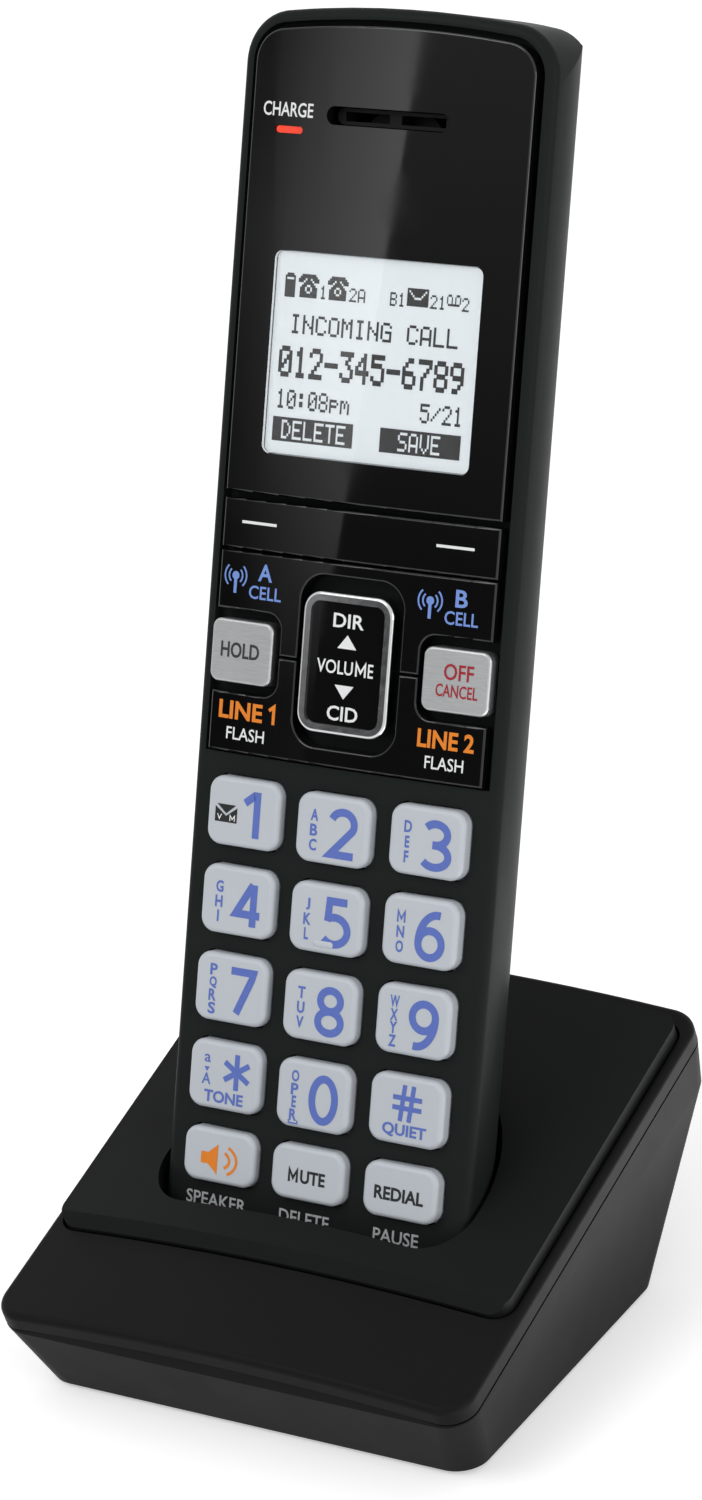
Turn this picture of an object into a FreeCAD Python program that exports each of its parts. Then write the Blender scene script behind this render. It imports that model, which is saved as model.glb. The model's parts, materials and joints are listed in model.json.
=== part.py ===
import FreeCAD, Part
import math
import os
import re

import Sketcher
from FreeCAD import Placement, Rotation, Vector

# A cordless telephone handset standing in its charging cradle.
#
# World frame: +X to the right of someone facing the keys, +Y to the back, +Z up. The origin is on the
# floor, under the middle of the whole object's box.
# Handset frame: x across the face, y up the handset from its lower end, z out of the face. It leans back.
# Deck frame: x across the cradle, y up its sloping seam from the front edge, z square to the seam.

doc = FreeCAD.newDocument("cordless_handset")
sheet = doc.addObject("Spreadsheet::Sheet", "Sizes")

# Driving dimensions: name, value in millimetres or degrees, what it is.
SIZES = [
    # Handset casing
    ("handset_width", 50.0, "width of the casing"),
    ("handset_length", 180.9, "length of the casing"),
    ("handset_depth", 22.0, "depth from face to back"),
    ("back_radius", 19.0, "radius of the rounded back corners"),
    ("face_crown", 1.0, "how far the face's sides lie below its middle"),
    ("top_radius", 7.3, "radius of the casing's top corners"),
    ("top_turn", 6.5, "how far the arched top edge has turned where it meets its corners"),
    ("foot_radius", 6.0, "radius of the casing's lower corners"),
    ("end_radius", 5.0, "rounding of the back's ends"),
    ("edge_radius", 1.3, "rounding of the face's edge"),
    ("parting_depth", 11.5, "depth of the line between the housings"),
    ("casing_wall", 1.8, "wall of both housings"),
    ("end_wall", 4.0, "wall at the lower end"),
    ("face_skin", 2.4, "depth of the keypad skin's inside"),
    ("recess_depth", 2.8, "depth of the recess for the gloss pieces"),
    ("recess_floor", 1.6, "thickness of that recess's floor"),
    # Gloss pieces on the upper face
    ("face_rim", 1.7, "width of the casing's rim beside the gloss pieces"),
    ("gloss_groove", 0.9, "groove round the gloss pieces"),
    ("gloss_proud", 0.8, "how far the gloss pieces stand proud"),
    ("gloss_edge", 0.3, "rounding of the gloss pieces' top edges"),
    ("panel_low", 75.2, "height of the lower plate's lower edge"),
    ("split_line", 89.6, "height of the seam between the two plates"),
    ("bar_line", 104.0, "height of the seam under the soft-key bar"),
    ("bezel_line", 111.9, "height of the seam under the bezel"),
    ("seam_gap", 0.3, "seam between plates"),
    ("wide_seam", 0.9, "seam under the bezel"),
    ("plate_thick", 1.9, "thickness of the see-saw plates"),
    ("display_width", 33.7, "width of the display opening"),
    ("display_height", 28.6, "height of the display opening"),
    ("display_centre", 132.3, "height of the display's middle"),
    ("display_corner", 1.2, "corner radius of the display opening"),
    ("view_margin", 0.65, "how much wider the recess's floor is opened round the display"),
    ("window_depth", 0.6, "depth of the display window's underside"),
    ("display_gap", 0.15, "gap between the window and the display's face"),
    ("slot_width", 19.7, "width of the earpiece slot"),
    ("slot_height", 2.6, "height of the earpiece slot"),
    ("slot_centre", 165.7, "height of the earpiece slot"),
    ("grille_depth", 1.6, "depth of the earpiece grille's face"),
    ("sound_slot_width", 7.1, "width of each sound slot in the grille"),
    ("sound_slot_height", 1.3, "height of each sound slot in the grille"),
    ("sound_slot_side", 4.5, "distance of the sound slots from the middle"),
    ("light_width", 4.6, "width of the charge light"),
    ("light_height", 1.1, "height of the charge light"),
    ("light_side", 16.0, "distance of the charge light from the middle"),
    ("light_centre", 163.3, "height of the charge light"),
    ("light_gap", 0.05, "clearance round the charge light in the bezel"),
    # Navigation key and the two metal keys
    ("nav_width", 14.6, "width of the navigation key"),
    ("nav_height", 19.9, "height of the navigation key"),
    ("nav_corner", 2.8, "corner radius of the navigation key"),
    ("nav_centre", 89.85, "height of the navigation key's middle"),
    ("nav_rim", 1.3, "width of the navigation key's ring"),
    ("nav_gap", 1.05, "gap beside the navigation key"),
    ("nav_end_gap", 2.2, "gap over and under the navigation key"),
    ("nav_proud", 1.6, "how far the ring stands proud"),
    ("nav_edge", 0.45, "rounding of the ring's top edge"),
    ("nav_sink", 0.3, "how far the navigation key lies below its ring"),
    ("side_key_width", 10.4, "width of the hold and off keys"),
    ("side_key_height", 9.0, "height of the hold and off keys"),
    ("side_key_corner", 1.4, "corner radius of the hold and off keys"),
    ("side_key_reach", 0.3, "how far they reach out past the gloss plates"),
    ("side_key_edge", 0.4, "rounding of their top edge"),
    ("side_key_travel", 0.5, "travel of the hold and off keys"),
    ("side_key_proud", 1.3, "how far they stand proud"),
    ("side_key_gap", 0.9, "gap between them and the plates"),
    ("side_key_end_gap", 1.4, "gap over and under them"),
    ("plate_stem_width", 5.0, "width of a stem under the plates and the bar"),
    ("plate_stem_height", 3.0, "height of a stem under the plates"),
    ("bar_stem_height", 2.0, "height of a stem under the bar"),
    ("nav_stem_width", 3.0, "width of a stem under the navigation key"),
    ("nav_stem_height", 2.0, "height of a stem under the navigation key"),
    ("side_stem_width", 3.6, "width of the square stem under the hold and off keys"),
    ("stem_gap", 0.7, "gap round a stem in its hole"),
    ("tip_gap", 0.4, "gap between a see-saw's stems and the mat"),
    ("stem_root", 0.5, "how far a stem runs up into its key"),
    # Keypad
    ("key_width", 12.0, "width of a key"),
    ("key_height", 9.9, "height of a digit key"),
    ("function_height", 7.9, "height of a function key"),
    ("key_corner", 2.2, "corner radius of a key"),
    ("key_edge", 0.8, "rounding of a key's top edge"),
    ("key_proud", 1.6, "how far a key stands proud"),
    ("key_gap", 0.25, "gap between a key and the skin"),
    ("key_flange", 0.5, "how far a key's flange reaches under the skin"),
    ("flange_thick", 0.7, "thickness of that flange"),
    ("column_pitch", 15.0, "distance between key columns"),
    ("row_pitch", 12.68, "distance between digit rows"),
    ("digit_row", 28.8, "height of the lowest digit row"),
    ("function_row", 17.1, "height of the function row"),
    ("middle_drop", 0.35, "how far the middle digits sit lower"),
    ("key_travel", 0.8, "travel of a key"),
    ("running_gap", 0.2, "clearance between pieces that move past each other"),
    ("pocket_gap", 0.6, "gap round the keys' flanges in the casing"),
    # Pieces inside the handset
    ("mat_thick", 1.0, "thickness of the keypad mat"),
    ("mat_gap", 0.9, "gap beside the keypad mat in the casing"),
    ("mat_corner", 2.0, "corner radius of the mat"),
    ("mat_depth", 5.0, "depth of the mat's face"),
    ("dome_radius", 2.2, "radius of a dome on the mat"),
    ("dome_gap", 0.1, "gap between a fully pressed key and its dome"),
    ("board_gap", 1.9, "gap beside the main board in the casing"),
    ("board_corner", 4.0, "corner radius of the main board"),
    ("board_length", 158.0, "length of the main board"),
    ("board_low", 7.0, "height of the main board's lower edge"),
    ("board_thick", 1.2, "thickness of the circuit boards"),
    ("board_depth", 7.0, "depth of the main board's face"),
    ("display_frame", 2.2, "width of the display module's frame"),
    ("module_thick", 2.2, "thickness of the display module"),
    ("module_corner", 1.0, "corner radius of the display module"),
    ("receiver_radius", 7.5, "radius of the earpiece receiver"),
    ("receiver_thick", 2.2, "thickness of the earpiece receiver"),
    ("receiver_centre", 160.2, "height of the earpiece receiver"),
    ("speaker_radius", 12.0, "radius of the loudspeaker"),
    ("speaker_thick", 4.5, "thickness of the loudspeaker"),
    ("speaker_centre", 146.0, "height of the loudspeaker"),
    ("speaker_depth", 14.0, "depth of the loudspeaker's face"),
    ("speaker_slots", 5, "number of slots in the back over the loudspeaker"),
    ("speaker_slot_width", 16.0, "width of the longest of them"),
    ("speaker_slot_step", 3.0, "how much shorter the next one is"),
    ("speaker_slot_height", 1.2, "height of each of them"),
    ("speaker_slot_pitch", 3.0, "distance between them"),
    ("microphone_radius", 2.5, "radius of the microphone"),
    ("microphone_thick", 1.8, "thickness of the microphone"),
    ("microphone_centre", 8.0, "height of the microphone"),
    ("microphone_hole", 0.6, "radius of the microphone's hole"),
    ("antenna_width", 14.0, "width of the antenna"),
    ("antenna_height", 3.0, "height of the antenna"),
    ("antenna_thick", 3.0, "thickness of the antenna"),
    ("antenna_centre", 161.0, "height of the antenna"),
    ("cell_radius", 5.1, "radius of one battery cell"),
    ("cell_length", 44.5, "length of the battery cells"),
    ("cell_depth", 14.4, "depth of the cells' axes"),
    ("contact_sheet", 0.4, "thickness of the contact metal"),
    ("cell_contact_width", 4.0, "width of a battery contact"),
    ("cell_contact_height", 5.0, "height of a battery contact"),
    ("door_width", 34.7, "width of the battery door"),
    ("door_low", 34.6, "height of the battery door's hooked end"),
    ("door_length", 51.2, "length of the battery door"),
    ("door_gap", 0.15, "gap beside the battery door"),
    ("door_swing_gap", 0.6, "gap at the door's free end"),
    ("rib_gap", 0.2, "gap between the door's hooked end and the rib"),
    ("screw_radius", 1.0, "radius of the handset screws"),
    ("head_radius", 1.9, "radius of every screw head"),
    ("head_thick", 1.3, "thickness of the handset screws' heads"),
    ("post_radius", 2.5, "radius of the screw posts"),
    ("screw_side", 12.0, "distance of the handset screws from the middle"),
    ("lower_screw", 94.0, "height of the lower handset screws"),
    ("upper_screw", 171.0, "height of the upper handset screws"),
    ("head_depth", 16.0, "depth of the handset screws' heads"),
    ("screw_stop", 1.2, "how far the handset screws end below the recess's floor"),
    ("thread_gap", 0.04, "clearance of a screw in its post"),
    ("screw_gap", 0.3, "clearance of a screw in the piece it holds"),
    ("head_gap", 0.2, "clearance round a screw's head"),
    ("post_gap", 0.5, "gap round a screw post"),
    # How the handset stands
    ("lean", 20.55, "how far the handset leans back from upright"),
    ("dock_back", 22.1, "distance of the face's lower edge behind the cradle's front"),
    ("dock_height", 13.2, "height of the face's lower edge"),
    ("cup_side", 0.8, "gap beside the handset in the cup"),
    ("cup_front", 4.8, "gap in front of the handset in the cup"),
    ("cup_back", 0.8, "gap behind the handset in the cup"),
    ("cup_corner", 7.0, "radius of the cup's front corners"),
    ("cup_wall", 1.5, "wall of the cup"),
    ("cup_seat", 0.3, "gap under the handset"),
    # Cradle
    ("cradle_width", 77.5, "width at the seam"),
    ("cradle_run", 76.8, "level distance from front to back at the seam"),
    ("cradle_corner", 4.5, "corner radius at the seam"),
    ("seam_height", 11.7, "height of the seam's front corners"),
    ("top_slope", 16.2, "slope of the seam"),
    ("seam_crown", 2.1, "rise of the seam and the deck at their middle"),
    ("base_width", 71.4, "width at the bottom"),
    ("base_run", 56.0, "length at the bottom"),
    ("base_corner", 4.5, "corner radius at the bottom"),
    ("front_undercut", 5.3, "how far the bottom stands back from the seam"),
    ("skirt_slope", 11.5, "slope of the crease under the upright band"),
    ("cradle_wall", 2.2, "wall of the base and the cover"),
    ("base_floor", 1.6, "thickness of the base's floor"),
    ("base_lift", 0.8, "height of the base's underside"),
    ("cover_height", 3.1, "height of the cover above the seam"),
    ("cover_edge", 1.0, "rounding of the cover's top edge"),
    ("seam_line", 0.35, "height of the groove at the seam"),
    ("tongue_height", 1.6, "height of the cover's tongue inside the base"),
    ("tongue_gap", 0.6, "gap round that tongue"),
    ("fit_gap", 0.15, "clearance between pieces that fit together"),
    ("platform_width", 74.2, "width of the platform"),
    ("platform_front", 16.9, "level distance of the platform's front from the cradle's"),
    ("platform_back", 2.8, "level width of the cover's rear rim"),
    ("platform_corner", 3.0, "corner radius of the platform"),
    ("platform_rise", 1.95, "height of the platform's front above the deck"),
    ("platform_slope", 16.5, "slope of the platform"),
    ("platform_skin", 2.2, "thickness of the platform"),
    ("facet_slope", 45.0, "slope of the facet along the platform's front, against the deck"),
    ("facet_foot", 0.35, "height of the facet's foot above the cover"),
    ("neck_width", 71.0, "width of the platform inside the base"),
    ("neck_top", 0.8, "height of that narrower part above the seam"),
    ("groove_width", 0.4, "groove round the platform"),
    ("flange_reach", 0.6, "how far the platform's flange reaches under the cover"),
    ("pad_radius", 4.5, "radius of a rubber foot"),
    ("pad_sink", 0.8, "how deep a foot sits in the base"),
    ("pad_side", 29.5, "distance of the feet from the middle"),
    ("pad_inset", 6.8, "distance of the feet from the bottom's ends"),
    ("ballast_width", 58.0, "width of the ballast plate"),
    ("ballast_length", 12.0, "length of the ballast plate"),
    ("ballast_thick", 6.4, "thickness of the ballast plate"),
    ("ballast_gap", 0.7, "gap between the base's front wall and the ballast plate"),
    ("base_screw_radius", 1.3, "radius of the cradle's screws"),
    ("base_screw_side", 21.0, "distance of the cradle's screws from the middle"),
    ("front_screw", 12.5, "distance of the front screws behind the cradle's front"),
    ("rear_screw", 56.5, "distance of the rear screws behind the cradle's front"),
    ("head_sink", 0.9, "thickness of the cradle's screw heads, which are flush with the base"),
    ("base_screw_length", 9.0, "length of the cradle's screws under their heads"),
    ("contact_width", 3.0, "width of a charging contact"),
    ("contact_length", 4.0, "length of a charging contact"),
    ("contact_side", 8.0, "distance of the contacts from the middle"),
    ("contact_depth", 6.5, "depth of the contacts' middle behind the face"),
    ("contact_margin", 0.5, "how much wider the handset's contacts are on each side"),
    ("contact_sink", 0.15, "how deep the handset's contacts lie in its lower end"),
    ("prong_gap", 0.3, "gap round a charging contact in the cup's floor"),
    ("board_post_radius", 1.2, "radius of the posts that carry the cradle's board"),
    ("board_post_side", 11.4, "distance of those posts from the middle"),
    ("charger_board_width", 26.0, "width of the cradle's board"),
    ("charger_board_length", 8.0, "length of the cradle's board"),
    ("charger_board_drop", 5.8, "distance of the cradle's board under the handset"),
    ("jack_width", 9.0, "width of the power inlet"),
    ("jack_length", 12.0, "length of the power inlet"),
    ("jack_height", 7.5, "height of the power inlet"),
    ("jack_centre", 14.5, "height of the inlet's axis"),
    ("jack_corner", 0.6, "corner radius of the power inlet"),
    ("jack_bore", 2.75, "radius of the inlet's bore"),
    ("jack_bore_depth", 9.0, "depth of the inlet's bore"),
    ("jack_hole_gap", 0.8, "how much wider the hole in the rear wall is than the bore"),
    ("jack_pin", 0.85, "radius of the inlet's pin"),
    ("jack_inset", 4.9, "distance of the inlet behind the rear wall's outside"),
]

for row, (alias, size, note) in enumerate(SIZES, start=1):
    sheet.set("A%d" % row, alias)
    sheet.set("B%d" % row, str(size))
    sheet.set("C%d" % row, note)
    sheet.setAlias("B%d" % row, alias)

# The middle of the whole object, measured once every piece is built. Only placements depend on it.
extent = doc.addObject("App::FeaturePython", "Extent")
extent.addProperty("App::PropertyFloat", "middle")
doc.recompute()

NAMES = {alias for alias, size, note in SIZES}
BEYOND = "3 * handset_length"  # the length of a cut through everything
PAST = "1"  # how far a cut runs past the surface that it opens
NEAR = 0.1  # how close an edge lies to the place where a fillet looks for it

nodes = {}
cuts = []


def bound(text):
    """An expression with every size's name pointing at the sheet."""
    return re.sub(r"[a-z_]+", lambda word: "Sizes." + word[0] if word[0] in NAMES else word[0], text)


def value(text):
    """The number that an expression gives now."""
    return float(sheet.evalExpression(bound(text)))


# ---------------------------------------------------------------- sketches


drawings = {}


def draw(sketch, curve):
    """Put a curve on a sketch's list. It is added with the rest when the sketch is used."""
    curves, dimensions = drawings.setdefault(sketch.Name, ([], []))
    curves.append(curve)
    return len(curves) - 1


def fix(sketch, kind, *target, to=None):
    """Put a constraint on a sketch's list: a join, or a dimension that is tied to an expression."""
    drawings[sketch.Name][1].append((kind, target, to))


def settle(sketch):
    """Add a sketch's curves and constraints, all at once so that they are solved once."""
    curves, dimensions = drawings.pop(sketch.Name)
    sketch.addGeometry(curves)
    sketch.addConstraint([Sketcher.Constraint(kind, *target) if to is None else
                          Sketcher.Constraint(kind, *target, value(to)) for kind, target, to in dimensions])
    for index, (kind, target, to) in enumerate(dimensions):
        if to is not None:
            sketch.setExpression("Constraints[%d]" % index, bound(to))


def sketch_on(body, role, lift="0", tilt=None, along="0"):
    """A sketch on one of the body's own planes: lifted off it, shifted along it, and tilted about x."""
    sketch = body.newObject("Sketcher::SketchObject", body.Label + "_sketch")
    plane = [feature for feature in body.Origin.OriginFeatures if feature.Role == role][0]
    sketch.AttachmentSupport = [(plane, "")]
    sketch.MapMode = "FlatFace"
    sketch.AttachmentOffset = Placement(Vector(0, 0, 0), Rotation(Vector(1, 0, 0), 10 if tilt else 0))
    sketch.setExpression("AttachmentOffset.Base.y", bound(along))
    sketch.setExpression("AttachmentOffset.Base.z", bound(lift))
    if tilt:
        sketch.setExpression("AttachmentOffset.Rotation.Angle", bound(tilt))
    return sketch


def add_circle(sketch, x, y, radius):
    circle = draw(sketch, Part.Circle(Vector(value(x), value(y), 0), Vector(0, 0, 1), value(radius)))
    fix(sketch, "Radius", circle, to=radius)
    fix(sketch, "DistanceX", -1, 1, circle, 3, to=x)
    fix(sketch, "DistanceY", -1, 1, circle, 3, to=y)


def add_path(sketch, start, *steps):
    """A closed outline. A step is the next corner (x, y), or (x, y, radius, turn) for an arc to it, which
    turns left (1) or right (-1). A radius of None is a half circle to a corner straight above or below. Every
    corner is dimensioned from the sketch's origin."""
    corners = [start] + [step[:2] for step in steps]
    first = None
    last = None
    for (x0, y0), step in zip(corners, steps):
        a = Vector(value(x0), value(y0), 0)
        b = Vector(value(step[0]), value(step[1]), 0)
        if len(step) == 2:
            segment = draw(sketch, Part.LineSegment(a, b))
            begin, end = (segment, 1), (segment, 2)
        else:
            turn = step[3]
            half = b.sub(a).multiply(0.5)
            radius = half.Length if step[2] is None else value(step[2])
            side = Vector(-half.y, half.x, 0).normalize().multiply(turn)
            reach = math.sqrt(max(radius ** 2 - half.Length ** 2, 0))
            centre = a.add(half).add(side.multiply(reach))
            ends = (a, b) if turn > 0 else (b, a)
            angles = [math.atan2(end.y - centre.y, end.x - centre.x) for end in ends]
            if angles[1] < angles[0]:
                angles[1] += 2 * math.pi
            arc = Part.ArcOfCircle(Part.Circle(centre, Vector(0, 0, 1), radius), angles[0], angles[1])
            segment = draw(sketch, arc)
            begin, end = ((segment, 1), (segment, 2)) if turn > 0 else ((segment, 2), (segment, 1))
            if step[2] is None:
                fix(sketch, "DistanceX", -1, 1, segment, 3, to=x0)
            else:
                fix(sketch, "Radius", segment, to=step[2])
        fix(sketch, "DistanceX", -1, 1, *begin, to=x0)
        fix(sketch, "DistanceY", -1, 1, *begin, to=y0)
        if last:
            fix(sketch, "Coincident", *last, *begin)
        first = first or begin
        last = end
    fix(sketch, "Coincident", *last, *first)


def add_box(sketch, width, height, x="0", y="0", corner=None):
    """A rectangle, or a rounded one, by its width, height, middle and corner radius."""
    left, right = "%s - (%s) / 2" % (x, width), "%s + (%s) / 2" % (x, width)
    low, high = "%s - (%s) / 2" % (y, height), "%s + (%s) / 2" % (y, height)
    if corner is None:
        add_path(sketch, (left, low), (right, low), (right, high), (left, high), (left, low))
        return
    inner_left, inner_right = "%s + (%s)" % (left, corner), "%s - (%s)" % (right, corner)
    inner_low, inner_high = "%s + (%s)" % (low, corner), "%s - (%s)" % (high, corner)
    add_path(sketch, (inner_left, low), (inner_right, low), (right, inner_low, corner, 1),
             (right, inner_high), (inner_right, high, corner, 1), (inner_left, high),
             (left, inner_high, corner, 1), (left, inner_low), (inner_left, low, corner, 1))


def add_slot(sketch, width, height, x="0", y="0"):
    """A slot with round ends, by its width, height and middle."""
    left, right = "%s - (%s - %s) / 2" % (x, width, height), "%s + (%s - %s) / 2" % (x, width, height)
    low, high = "%s - (%s) / 2" % (y, height), "%s + (%s) / 2" % (y, height)
    add_path(sketch, (left, low), (right, low), (right, high, None, 1), (left, high), (left, low, None, 1))


# ---------------------------------------------------------------- features


def new_body(label, keep=True):
    """A body in its own frame. A body that is kept becomes a node."""
    body = doc.addObject("PartDesign::Body", label)
    body.Label = label
    if keep:
        nodes[label] = body
    return body


def pad(body, sketch, length, reverse=False):
    settle(sketch)
    feature = body.newObject("PartDesign::Pad", body.Label + "_pad")
    feature.Profile = sketch
    feature.setExpression("Length", bound(length))
    feature.Reversed = reverse
    return feature


def pocket(body, sketch, length=None, reverse=False):
    """A cut along the sketch's downward side, or both ways through everything if no length is given."""
    settle(sketch)
    feature = body.newObject("PartDesign::Pocket", body.Label + "_pocket")
    feature.Profile = sketch
    feature.Reversed = reverse
    if length is None:
        feature.SideType = "Symmetric"
        length = BEYOND
    feature.setExpression("Length", bound(length))
    cuts.append(feature)
    return feature


def block(body, low, high, outline):
    """A pad between two levels of the body's XY plane. The outline is a function that draws it."""
    sketch = sketch_on(body, "XY_Plane", low)
    outline(sketch)
    return pad(body, sketch, "(%s) - (%s)" % (high, low))


def hollow(body, low, high, outline):
    """A cut between two levels of the body's XY plane."""
    sketch = sketch_on(body, "XY_Plane", high)
    outline(sketch)
    return pocket(body, sketch, "(%s) - (%s)" % (high, low))


def fillet(body, radius, chosen):
    """Round the edges of the body's last feature that the test picks."""
    doc.recompute()
    base = body.Tip
    names = ["Edge%d" % (i + 1) for i, edge in enumerate(base.Shape.Edges) if chosen(edge)]
    feature = body.newObject("PartDesign::Fillet", body.Label + "_fillet")
    feature.Base = (base, names)
    feature.setExpression("Radius", bound(radius))
    return feature


def box(width, height, x="0", y="0", corner=None):
    """An outline for block and hollow: a rectangle."""
    return lambda sketch: add_box(sketch, width, height, x, y, corner)


def disc(radius, x="0", y="0"):
    """An outline for block and hollow: a circle."""
    return lambda sketch: add_circle(sketch, x, y, radius)


def slot(width, height, x="0", y="0"):
    """An outline for block and hollow: a slot."""
    return lambda sketch: add_slot(sketch, width, height, x, y)


def through(body, outline):
    """A cut both ways through a body's XY plane."""
    sketch = sketch_on(body, "XY_Plane")
    outline(sketch)
    return pocket(body, sketch)


def span(low, high):
    """The size and the middle of the stretch between two values."""
    return "(%s) - (%s)" % (high, low), "((%s) + (%s)) / 2" % (low, high)


def place(obj, back, height, angle):
    """Turn a piece about x and put its frame's origin in the world."""
    obj.Placement = Placement(Vector(0, 0, 0), Rotation(Vector(1, 0, 0), 10))
    obj.setExpression("Placement.Rotation.Angle", bound(angle))
    obj.setExpression("Placement.Base.y", bound(back) + " - Extent.middle")
    obj.setExpression("Placement.Base.z", bound(height))


def in_handset(obj):
    place(obj, "dock_back", "dock_height", "90 - lean")


def on_deck(obj):
    place(obj, "0", "seam_height", "top_slope")


# ---------------------------------------------------------------- handset forms

HALF = "handset_width / 2"
CROWN_RADIUS = "(((handset_width / 2)^2 + face_crown^2) / (2 * face_crown))"
FLAT = "(handset_width / 2 - back_radius)"
ARC_CENTRE = "(back_radius - handset_depth)"
TOP_REACH = "(handset_width / 2 - top_radius)"
SHOULDER = "(handset_length - top_radius - %s * tan(top_turn / 2))" % TOP_REACH
ARCH_RADIUS = "(%s / sin(top_turn) + top_radius)" % TOP_REACH


def sagitta(radius, reach):
    """How far an arc has fallen at a distance from its middle."""
    return "((%s) - sqrt((%s)^2 - (%s)^2))" % (radius, radius, reach)


def crown_cut(body, level):
    """Cut everything above the crowned face, which is at this level in the middle."""
    reach = "(handset_width / 2 + %s)" % PAST
    edge = "%s - %s" % (level, sagitta(CROWN_RADIUS, reach))
    sketch = sketch_on(body, "XZ_Plane")
    add_path(sketch, (reach, edge), (reach, "handset_depth"), ("-" + reach, "handset_depth"),
             ("-" + reach, edge), (reach, edge, CROWN_RADIUS, -1))
    pocket(body, sketch)


def top_corner(radius):
    """Where a top corner of this radius, round the corner's own centre, runs into the arched top edge."""
    return "(%s + %s * sin(top_turn))" % (TOP_REACH, radius), "(%s + %s * cos(top_turn))" % (SHOULDER, radius)


def face_outline(inset, low):
    """The casing's outline seen from the front, drawn in by inset and started at the height low."""
    side = "(handset_width / 2 - (%s))" % inset
    corner = "(top_radius - (%s))" % inset
    turn, height = top_corner(corner)
    arch = "(%s - (%s))" % (ARCH_RADIUS, inset)

    def outline(sketch):
        add_path(sketch, ("-" + side, low), (side, low), (side, SHOULDER), (turn, height, corner, 1),
                 ("-" + turn, height, arch, 1), ("-" + side, SHOULDER, corner, 1), ("-" + side, low))
    return outline


def handset_form(body):
    """The casing's outer form: a D-shaped section along y, trimmed to the outline seen from the front."""
    edge = "-face_crown"
    back = "-handset_depth"
    section = sketch_on(body, "XZ_Plane")
    add_path(section, (HALF, edge), ("-" + HALF, edge, CROWN_RADIUS, 1), ("-" + HALF, ARC_CENTRE),
             ("-" + FLAT, back, "back_radius", 1), (FLAT, back), (HALF, ARC_CENTRE, "back_radius", 1),
             (HALF, edge))
    pad(body, section, "handset_length", reverse=True)
    trim = sketch_on(body, "XY_Plane")
    add_box(trim, "2 * handset_width", "2 * handset_length", "0", "handset_length / 2")
    side, corner = HALF, "foot_radius"
    inner = "(handset_width / 2 - foot_radius)"
    turn, height = top_corner("top_radius")
    add_path(trim, ("-" + inner, "0"), (inner, "0"), (side, corner, corner, 1), (side, SHOULDER),
             (turn, height, "top_radius", 1), ("-" + turn, height, ARCH_RADIUS, 1),
             ("-" + side, SHOULDER, "top_radius", 1), ("-" + side, corner), ("-" + inner, "0", corner, 1))
    pocket(body, trim)


def back_section(inset, half):
    """Heights of the D-shaped back at a distance from its middle, drawn in by inset."""
    return "(%s - sqrt((back_radius - %s)^2 - (%s - %s)^2))" % (ARC_CENTRE, inset, half, FLAT)


# ---------------------------------------------------------------- keys' places

KEYS = [("key_%d" % (3 * row + column + 1), column, 3 - row) for row in range(3) for column in range(3)]
KEYS += [("key_star", 0, 0), ("key_0", 1, 0), ("key_hash", 2, 0)]
FUNCTION_KEYS = [("key_speaker", 0), ("key_mute", 1), ("key_redial", 2)]

KEY_PLACES = []
for label, column, row in KEYS:
    drop = " - middle_drop" if column == 1 else ""
    KEY_PLACES.append((label, "%d * column_pitch" % (column - 1),
                       "digit_row + %d * row_pitch%s" % (row, drop), "key_height"))
for label, column in FUNCTION_KEYS:
    KEY_PLACES.append((label, "%d * column_pitch" % (column - 1), "function_row", "function_height"))

GLOSS_WIDTH = "(handset_width - 2 * face_rim - 2 * gloss_groove)"
SIDE_KEY_EDGE = "(%s / 2 + side_key_reach)" % GLOSS_WIDTH
SIDE_KEY_X = "(%s - side_key_width / 2)" % SIDE_KEY_EDGE
BAR_STEM = "((bar_line + bezel_line) / 2)"
CELL_STEM = "(bar_line - plate_stem_height)"
LINE_STEM = "(panel_low + plate_stem_height)"
STEM_X = "(%s / 4 + plate_stem_width / 2)" % GLOSS_WIDTH
NAV_STEM = "(nav_height / 4 + nav_stem_height / 2)"
SCREWS = [("-screw_side", "lower_screw"), ("screw_side", "lower_screw"),
          ("-screw_side", "upper_screw"), ("screw_side", "upper_screw")]
FLOOR_BACK = "(recess_depth + recess_floor)"
STEM_TIP = "tip_gap - mat_depth"
STEM_ROOT = "stem_root - plate_thick"
FLANGE_TOP = "(-face_skin - running_gap)"
CAVITY_HALF = "(%s + sqrt(back_radius^2 - (parting_depth + %s)^2) - casing_wall)" % (FLAT, ARC_CENTRE)
CAVITY_TOP = "(upper_screw - post_radius - post_gap)"


# ---------------------------------------------------------------- handset casing

# Front housing: the face, the sides down to the parting line, the recess for the gloss pieces and all the
# holes that keys, stems, light and sound go through.
front = new_body("front_housing")
handset_form(front)
fillet(front, "edge_radius", lambda edge: edge.BoundBox.ZMin > -value("face_crown") - NEAR)
hollow(front, "-2 * handset_depth", "-parting_depth", box("2 * handset_width", "3 * handset_length"))
length, middle = span("end_wall", CAVITY_TOP)
sketch = sketch_on(front, "XY_Plane", "-parting_depth")
add_box(sketch, "2 * %s" % CAVITY_HALF, length, "0", middle, "end_wall")
pocket(front, sketch, "parting_depth - %s" % FLOOR_BACK, reverse=True)
length, middle = span("function_row - function_height / 2 - key_flange - pocket_gap",
                      "digit_row + 3 * row_pitch + key_height / 2 + key_flange + pocket_gap")
hollow(front, "-mat_depth", "-face_skin",
       box("2 * column_pitch + key_width + 2 * (key_flange + pocket_gap)", length, "0", middle,
           "key_corner + key_flange + pocket_gap"))
hollow(front, "-recess_depth", "handset_depth", face_outline("face_rim", "panel_low - seam_gap"))


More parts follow.
